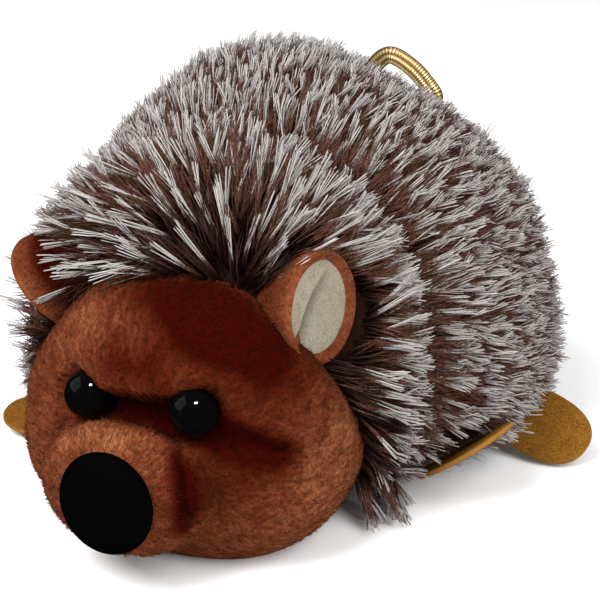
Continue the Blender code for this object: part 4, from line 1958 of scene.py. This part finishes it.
@dataclass
class Ear:
    """A cup of short plush that opens outwards, with a cream lining folded along its length."""

    side: Side
    seed: Seed
    tuck: Vec  # from the middle of the ear's solid
    lean: float  # degrees about Y
    turn: float  # and about Z
    shade: float  # how much painted shade darkens its flank
    spare: float = 0.0  # how much more room it keeps clear of long pile each way
    half_width: float = 0.0108
    half_height: float = 0.0122
    room_depth: float = 0.0098
    room_ahead: float = -0.0022
    room_drawn: float = 0.0010
    pocket_depth: float = 0.0060
    pocket_ahead: float = -0.0050
    pocket_wider: float = 0.0010
    profile: tuple[Pair, ...] = (
        (0.00, 0.0240), (0.30, 0.0166), (0.60, 0.0092), (0.85, 0.0030), (0.97, -0.0008), (1.00, -0.0024),
        (0.985, -0.0034), (0.95, -0.0037), (0.90, -0.0030), (0.60, -0.0010), (0.30, 0.0000),
        (0.00, 0.0004),
    )
    drawn: Vec = (-0.23, 0.0, -0.25)  # how the back of the cup is drawn forwards and down
    cup_steps: int = 5
    cup_columns: int = 72
    tone: float = 0.46
    # painted light: how much paler the rim is
    rim_tone: float = 0.16
    rim: Pair = (0.0020, -0.0025)
    flank: Pair = (0.0, 0.0040)
    outer_share: float = 0.93  # nap grows where the cup is at least this wide
    outer_length: float = 0.0290  # or further back, which counts by this length
    nap_lay: Vec = (0.0, -1.0, 0.35)
    nap: Pile = Pile(
        length=0.0015, radius=0.00011, strands=1, lock_radius=0.0, gather=0.0, root_lift=64.0,
        tip_lift=40.0, length_spread=0.2, lift_spread=10.0, turn_spread=20.0, stray=0.06, rings=(0.0,),
        ring_radii=(1.0,), sunk=0.0002,
    )
    nap_count: int = 12000

    def __post_init__(self) -> None:
        """Places the ear's own axes: -Y looks out of its cup and +Z runs up to its tip."""
        middle, _ = middle_and_half("ear_" + self.side.word)
        self.centre = middle + np.array(self.tuck)
        sign = self.side.value
        self.frame = turned(sign * self.lean, 1) @ turned(sign * self.turn, 2)
        self.pull = np.array([sign, 1.0, 1.0]) * np.array(self.drawn)

    def clearing(self) -> Clearing:
        """The room that the ear and its opening keep clear of long pile.

        Returns:
            An ellipsoid turned as the ear is.
        """
        half = np.array([self.half_width, self.room_depth, self.half_height]) + self.spare
        middle = np.array([0.0, self.room_ahead, 0.0]) + self.room_drawn * self.pull
        return Clearing(self.centre + self.frame @ middle, half, self.frame)

    def pocket(self) -> Clearing:
        """The room that the mouth of the cup takes out of the hood.

        Returns:
            An ellipsoid turned as the ear is.
        """
        wide, high = self.half_width + self.pocket_wider, self.half_height + self.pocket_wider
        middle = self.frame @ np.array([0.0, self.pocket_ahead, 0.0])
        return Clearing(self.centre + middle, np.array([wide, self.pocket_depth, high]), self.frame)

    def place(self, points: Array) -> Array:
        """Points in the ear's own axes, put in their place on the head."""
        return points @ self.frame.T + self.centre

    def cup(self) -> Array:
        """The profile carried round the ear's Y axis, wider up than across, its back drawn aside.

        Returns:
            Points on a closed grid, in the ear's own axes.
        """
        corners = np.array([(share, depth, 0.0) for share, depth in self.profile])
        curve = smooth_route(corners, self.cup_steps)
        turn = 2.0 * np.pi * np.arange(self.cup_columns) / self.cup_columns
        share, depth = np.maximum(curve[:, 0], 0.0)[:, None], curve[:, 1][:, None]
        behind = np.maximum(depth, 0.0)
        across = share * self.half_width * np.cos(turn)[None] + behind * self.pull[0]
        height = share * self.half_height * np.sin(turn)[None] + behind * self.pull[2]
        return np.stack([across, depth * np.ones_like(turn)[None], height], axis=-1)

    def make(self, finishes: Finishes) -> None:
        """Builds the cup with its nap, and the lining.

        Args:
            finishes: The toy's finishes.
        """
        grid = self.place(self.cup())
        cup = closed_piece(f"ear_{self.side.word}_cup", grid)
        set_values(cup, "frost", grid_values(self.brushed(grid)))
        dress(cup, Slot.SHORT_PILE, finishes.short_pile)
        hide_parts("ear_" + self.side.word)
        self.grow_nap(grid, finishes.short_pile)
        self.make_lining(finishes.cream)

    def brushed(self, points: Array) -> Array:
        """How pale the nap is, with painted light on the rim and painted shade on the flank behind it.

        Args:
            points: Places on the ear.

        Returns:
            The paleness at each of them.
        """
        own = (points - self.centre) @ self.frame
        rim, flank = ease(*self.rim, own[..., 1]), ease(*self.flank, own[..., 1])
        return self.tone + self.rim_tone * rim - self.shade * flank

    def grow_nap(self, grid: Array, material: Material) -> None:
        """Grows the nap towards the rim, over the back and the rim's outer side.

        Args:
            grid: The cup's points.
            material: The nap's finish.
        """
        rng = self.seed.chance()
        roots = sow(grid, grid_normals(grid), self.nap_count, rng)
        own = (roots.place - self.centre) @ self.frame
        behind = np.maximum(own[:, 1], 0.0)
        across, height = own[:, 0] - behind * self.pull[0], own[:, 2] - behind * self.pull[2]
        wide = np.hypot(across / self.half_width, height / self.half_height)
        roots = roots.only(wide + own[:, 1] / self.outer_length > self.outer_share)
        lay = np.tile(self.frame @ np.array(self.nap_lay), (len(roots), 1))
        nap = grow(f"ear_{self.side.word}_nap", roots, lay, self.nap, rng, frost=self.brushed(roots.place))
        dress(nap, Slot.SHORT_PILE, material)

    def make_lining(self, material: Material) -> None:
        """Puts the lining in the cup.

        Args:
            material: The lining's finish.
        """
        oval, depth = Lining().surface(self.side.value, self.half_width, self.half_height)
        piece = closed_piece(f"ear_{self.side.word}_lining", self.place(oval))
        # The fold value is the painted shade in the lining's groove.
        set_values(piece, "fold", grid_values(depth))
        dress(piece, Slot.CREAM, material)
        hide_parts("ear_lining_" + self.side.word)


@dataclass
class Foot:
    """A felt paddle with a rounded end and a soft cut edge."""

    name: str
    root: Vec
    along: Vec
    facing: Vec
    length: float = 0.0255
    half_width: float = 0.0088
    thickness: float = 0.0016
    curl: float = 0.0012
    squareness: float = 2.3
    edge_power: float = 6.0
    edge_span: Pair = (0.55, 0.85)
    level_share: float = 0.4  # where along it the curl neither lowers nor lifts it, squared
    room_start: float = 0.75  # where the middle of the room kept clear lies along it
    room_wider: float = 1.1
    room_below: float = 0.0
    rows: int = 48
    columns: int = 96

    def clearing(self) -> Clearing:
        """The room about the outer part of the paddle, and below it, that is kept clear of long pile.

        Returns:
            An ellipsoid turned as the paddle is.
        """
        own = axes(self.along, self.facing)
        below = 0.5 * self.room_below
        middle = own @ np.array([self.room_start * self.length - below, 0.0, -below])
        wide = self.room_wider * self.half_width
        half = np.array([0.5 * self.length, wide + below, self.thickness + below])
        return Clearing(np.array(self.root) + middle, half, own)

    def make(self, finishes: Finishes) -> None:
        """A thin squarish ovoid, curled a little up to its tip.

        Args:
            finishes: The toy's finishes.
        """
        half = (0.5 * self.length, self.half_width, 0.5 * self.thickness)
        powers = (self.squareness, self.edge_power, self.edge_power)
        grid = Ovoid((0.0, 0.0, 0.0), half, half, *powers).grid(self.rows, self.columns)
        edge = ease(*self.edge_span, np.abs(grid_normals(grid)[..., :2]).max(axis=-1))
        share = grid[..., 0] / half[0]
        grid[..., 2] += self.curl * (share**2 - self.level_share) * 0.5
        grid[..., 0] += half[0]
        placed = grid @ axes(self.along, self.facing).T + np.array(self.root)
        placed[..., 2] = np.maximum(placed[..., 2], FLOOR_AIR)
        piece = closed_piece(f"foot_{self.name}_felt", placed)
        set_values(piece, "edge", grid_values(edge))
        dress(piece, Slot.FELT, finishes.felt)
        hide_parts("foot_" + self.name)


@dataclass
class HangLoop:
    """A flat gold ribbon whose ends are sewn into the seam along the back."""

    half_width: float = 0.0023
    half_thickness: float = 0.00055
    facing: Vec = (0.30, -0.80, 0.50)
    section_points: int = 20
    steps: int = 12
    route: tuple[Vec, ...] = (
        (0.0026, 0.0608, 0.0730), (0.0036, 0.0610, 0.0805), (0.0082, 0.0612, 0.0850),
        (0.0140, 0.0614, 0.0826), (0.0184, 0.0616, 0.0784), (0.0206, 0.0616, 0.0748),
        (0.0172, 0.0616, 0.0718),
    )
    room_more: Vec = (0.0010, 0.0030, 0.0040)
    room_higher: float = 0.0015

    def clearing(self) -> Clearing:
        """The room that the loop keeps clear of long pile."""
        middle, half = middle_and_half("hang_loop")
        return Clearing(middle + self.room_higher * UP, half + np.array(self.room_more), np.eye(3))

    def make(self, finishes: Finishes) -> None:
        """Carries a rounded flat section, |x|^4 + |y|^4 = 1 stretched, along the route.

        Args:
            finishes: The toy's finishes.
        """
        route = smooth_route(np.array(self.route), self.steps)
        forward = unit(np.gradient(route, axis=0))
        across = unit(np.cross(np.array(self.facing)[None], forward))
        lift = unit(np.cross(forward, across))
        turn = 2.0 * np.pi * np.arange(self.section_points) / self.section_points
        wide, high = (np.sign(part) * np.abs(part) ** 0.5 for part in (np.cos(turn), np.sin(turn)))
        rings = (
            route[:, None]
            + across[:, None] * (self.half_width * wide)[None, :, None]
            + lift[:, None] * (self.half_thickness * high)[None, :, None]
        )
        ends = [np.repeat(end[None], self.section_points, axis=0)[None] for end in (route[0], route[-1])]
        grid = np.concatenate([ends[0], rings, ends[1]])
        piece = closed_piece("hang_loop_ribbon", grid)
        run = np.concatenate([[0.0], np.cumsum(np.linalg.norm(np.diff(route, axis=0), axis=1))])
        run = np.concatenate([run[:1], run, run[-1:]])
        set_values(piece, "across", grid_values(np.tile(0.5 + 0.5 * wide, (len(run), 1))))
        set_values(piece, "run", grid_values(np.repeat(run[:, None], self.section_points, axis=1)))
        dress(piece, Slot.RIBBON, finishes.ribbon)
        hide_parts("hang_loop")


# ---------------------------------------------------------------- the whole toy and its studio


@dataclass
class Hedgehog:
    """The whole toy."""

    ears: tuple[Ear, ...] = (
        # The last number of each ear is the painted shade on its flank.
        Ear(Side.LEFT, Seed.LEFT_EAR_NAP, (-0.0005, 0.0035, -0.0021), -4.0, 72.5, 0.08),
        Ear(Side.RIGHT, Seed.RIGHT_EAR_NAP, (0.0016, 0.0038, -0.0002), 45.0, 90.0, 0.42, spare=-0.0030),
    )
    feet: tuple[Foot, ...] = (
        Foot("front_left", (0.0430, -0.0094, 0.0050), (0.80, 0.10, 0.59), (-0.584, 0.125, 0.802),
            room_below=0.0120),
        Foot("front_right", (-0.0400, -0.0110, 0.0036), (-1.0, -0.05, 0.0), (-0.05, -0.14, 0.97)),
        Foot("rear_left", (0.0509, 0.0257, 0.0112), (0.934, -0.221, -0.281), (0.09, -0.61, 0.787)),
        Foot("rear_right", (-0.0509, 0.0257, 0.0112), (-0.934, -0.221, -0.281), (-0.09, -0.61, 0.787)),
    )

    def make(self, finishes: Finishes) -> None:
        """Builds every piece in order.

        Args:
            finishes: The toy's finishes.
        """
        face = Face()
        face.make(finishes)
        trim = [*self.ears, *self.feet, HangLoop()]
        pockets = tuple(ear.pocket() for ear in self.ears)
        Hide(pockets).make(face, [part.clearing() for part in trim], finishes)
        Belly().make(finishes)
        for part in trim:
            part.make(finishes)


@dataclass(frozen=True)
class SoftLight:
    """A rectangular lamp that looks at a point: angles in degrees, sizes in metres."""

    name: str
    azimuth: float
    elevation: float
    distance: float
    size: Pair
    power: float
    tint: Colour = (1.0, 1.0, 1.0)
    mirrored: bool = True
    lights_matt: bool = True

    def make(self, target: Array) -> None:
        """Adds the lamp on its side of the target.

        Args:
            target: Where it looks.
        """
        lamp = bpy.data.lights.new(self.name, "AREA")
        lamp.shape = "RECTANGLE"
        lamp.size, lamp.size_y = self.size
        lamp.energy = self.power
        lamp.color = self.tint
        made = bpy.data.objects.new(self.name, lamp)
        made.visible_glossy = self.mirrored
        made.visible_diffuse = self.lights_matt
        around, up = math.radians(self.azimuth), math.radians(self.elevation)
        back = np.array([math.sin(around) * math.cos(up), -math.cos(around) * math.cos(up), math.sin(up)])
        aim(made, target + back * self.distance, target)
        bpy.context.scene.collection.objects.link(made)


def aim(thing: bpy.types.Object, place: Array, target: Array) -> None:
    """Puts a lamp or a camera at a place and turns its -Z to the target, with its +Y up.

    Args:
        thing: The lamp or camera.
        place: Where it stands.
        target: Where it looks.
    """
    back = unit(place - target)
    right = unit(np.cross(UP, back))
    matrix = np.eye(4)
    matrix[:3, :3] = np.stack([right, np.cross(back, right), back], axis=1)
    matrix[:3, 3] = place
    thing.matrix_world = matrix.T.tolist()


@dataclass(frozen=True)
class Studio:
    """A pale floor, soft lights and the camera."""

    camera_place: Vec = (0.15368, -0.34502, 0.18485)
    camera_target: Vec = (0.003135, 0.01447, 0.03372)
    lens: float = 102.64
    floor_size: float = 6.0
    world_strength: float = 0.48
    lights: tuple[SoftLight, ...] = (
        SoftLight("key", -26.0, 50.0, 0.9, (0.5, 0.5), 13.5, mirrored=False),
        SoftLight("fill", 66.0, 36.0, 1.0, (0.6, 0.8), 10.5, mirrored=False),
        SoftLight("glint", 42.0, 62.0, 0.8, (0.17, 0.10), 12.0, lights_matt=False),
        SoftLight("window", -66.0, 36.0, 1.0, (1.0, 0.8), 2.6, (0.8, 0.95, 0.85), lights_matt=False),
    )

    def make(self) -> None:
        """Builds the floor, the world, the lights and the camera."""
        self.make_floor()
        self.make_world()
        for light in self.lights:
            light.make(np.array(self.camera_target))
        self.make_camera()
        bpy.context.scene.view_settings.view_transform = "Standard"

    def make_floor(self) -> None:
        """One large flat face."""
        half = 0.5 * self.floor_size
        corners = np.array([(-half, -half, 0.0), (half, -half, 0.0), (half, half, 0.0), (-half, half, 0.0)])
        floor = new_piece("studio_floor", corners, np.array([[0, 1, 2, 3]]))
        floor.data.materials.append(FloorFinish().build())
        floor.visible_glossy = False

    def make_world(self) -> None:
        """An even white surround."""
        world = bpy.data.worlds.new("studio")
        world.use_nodes = True
        background = world.node_tree.nodes["Background"]
        background.inputs["Color"].default_value = (1.0, 1.0, 1.0, 1.0)
        background.inputs["Strength"].default_value = self.world_strength
        world.cycles_visibility.glossy = False
        bpy.context.scene.world = world

    def make_camera(self) -> None:
        """The camera, with a normal 36 mm wide sensor."""
        lens = bpy.data.cameras.new("camera")
        lens.lens = self.lens
        lens.sensor_width = 36.0
        lens.clip_start = 0.01
        made = bpy.data.objects.new("camera", lens)
        aim(made, np.array(self.camera_place), np.array(self.camera_target))
        bpy.context.scene.collection.objects.link(made)
        bpy.context.scene.camera = made


def main() -> None:
    """Builds the toy and its studio."""
    logging.basicConfig(level=logging.INFO, format="%(name)s %(message)s")
    Hedgehog().make(Finishes.build())
    Studio().make()


if __name__ == "__main__":
    main()
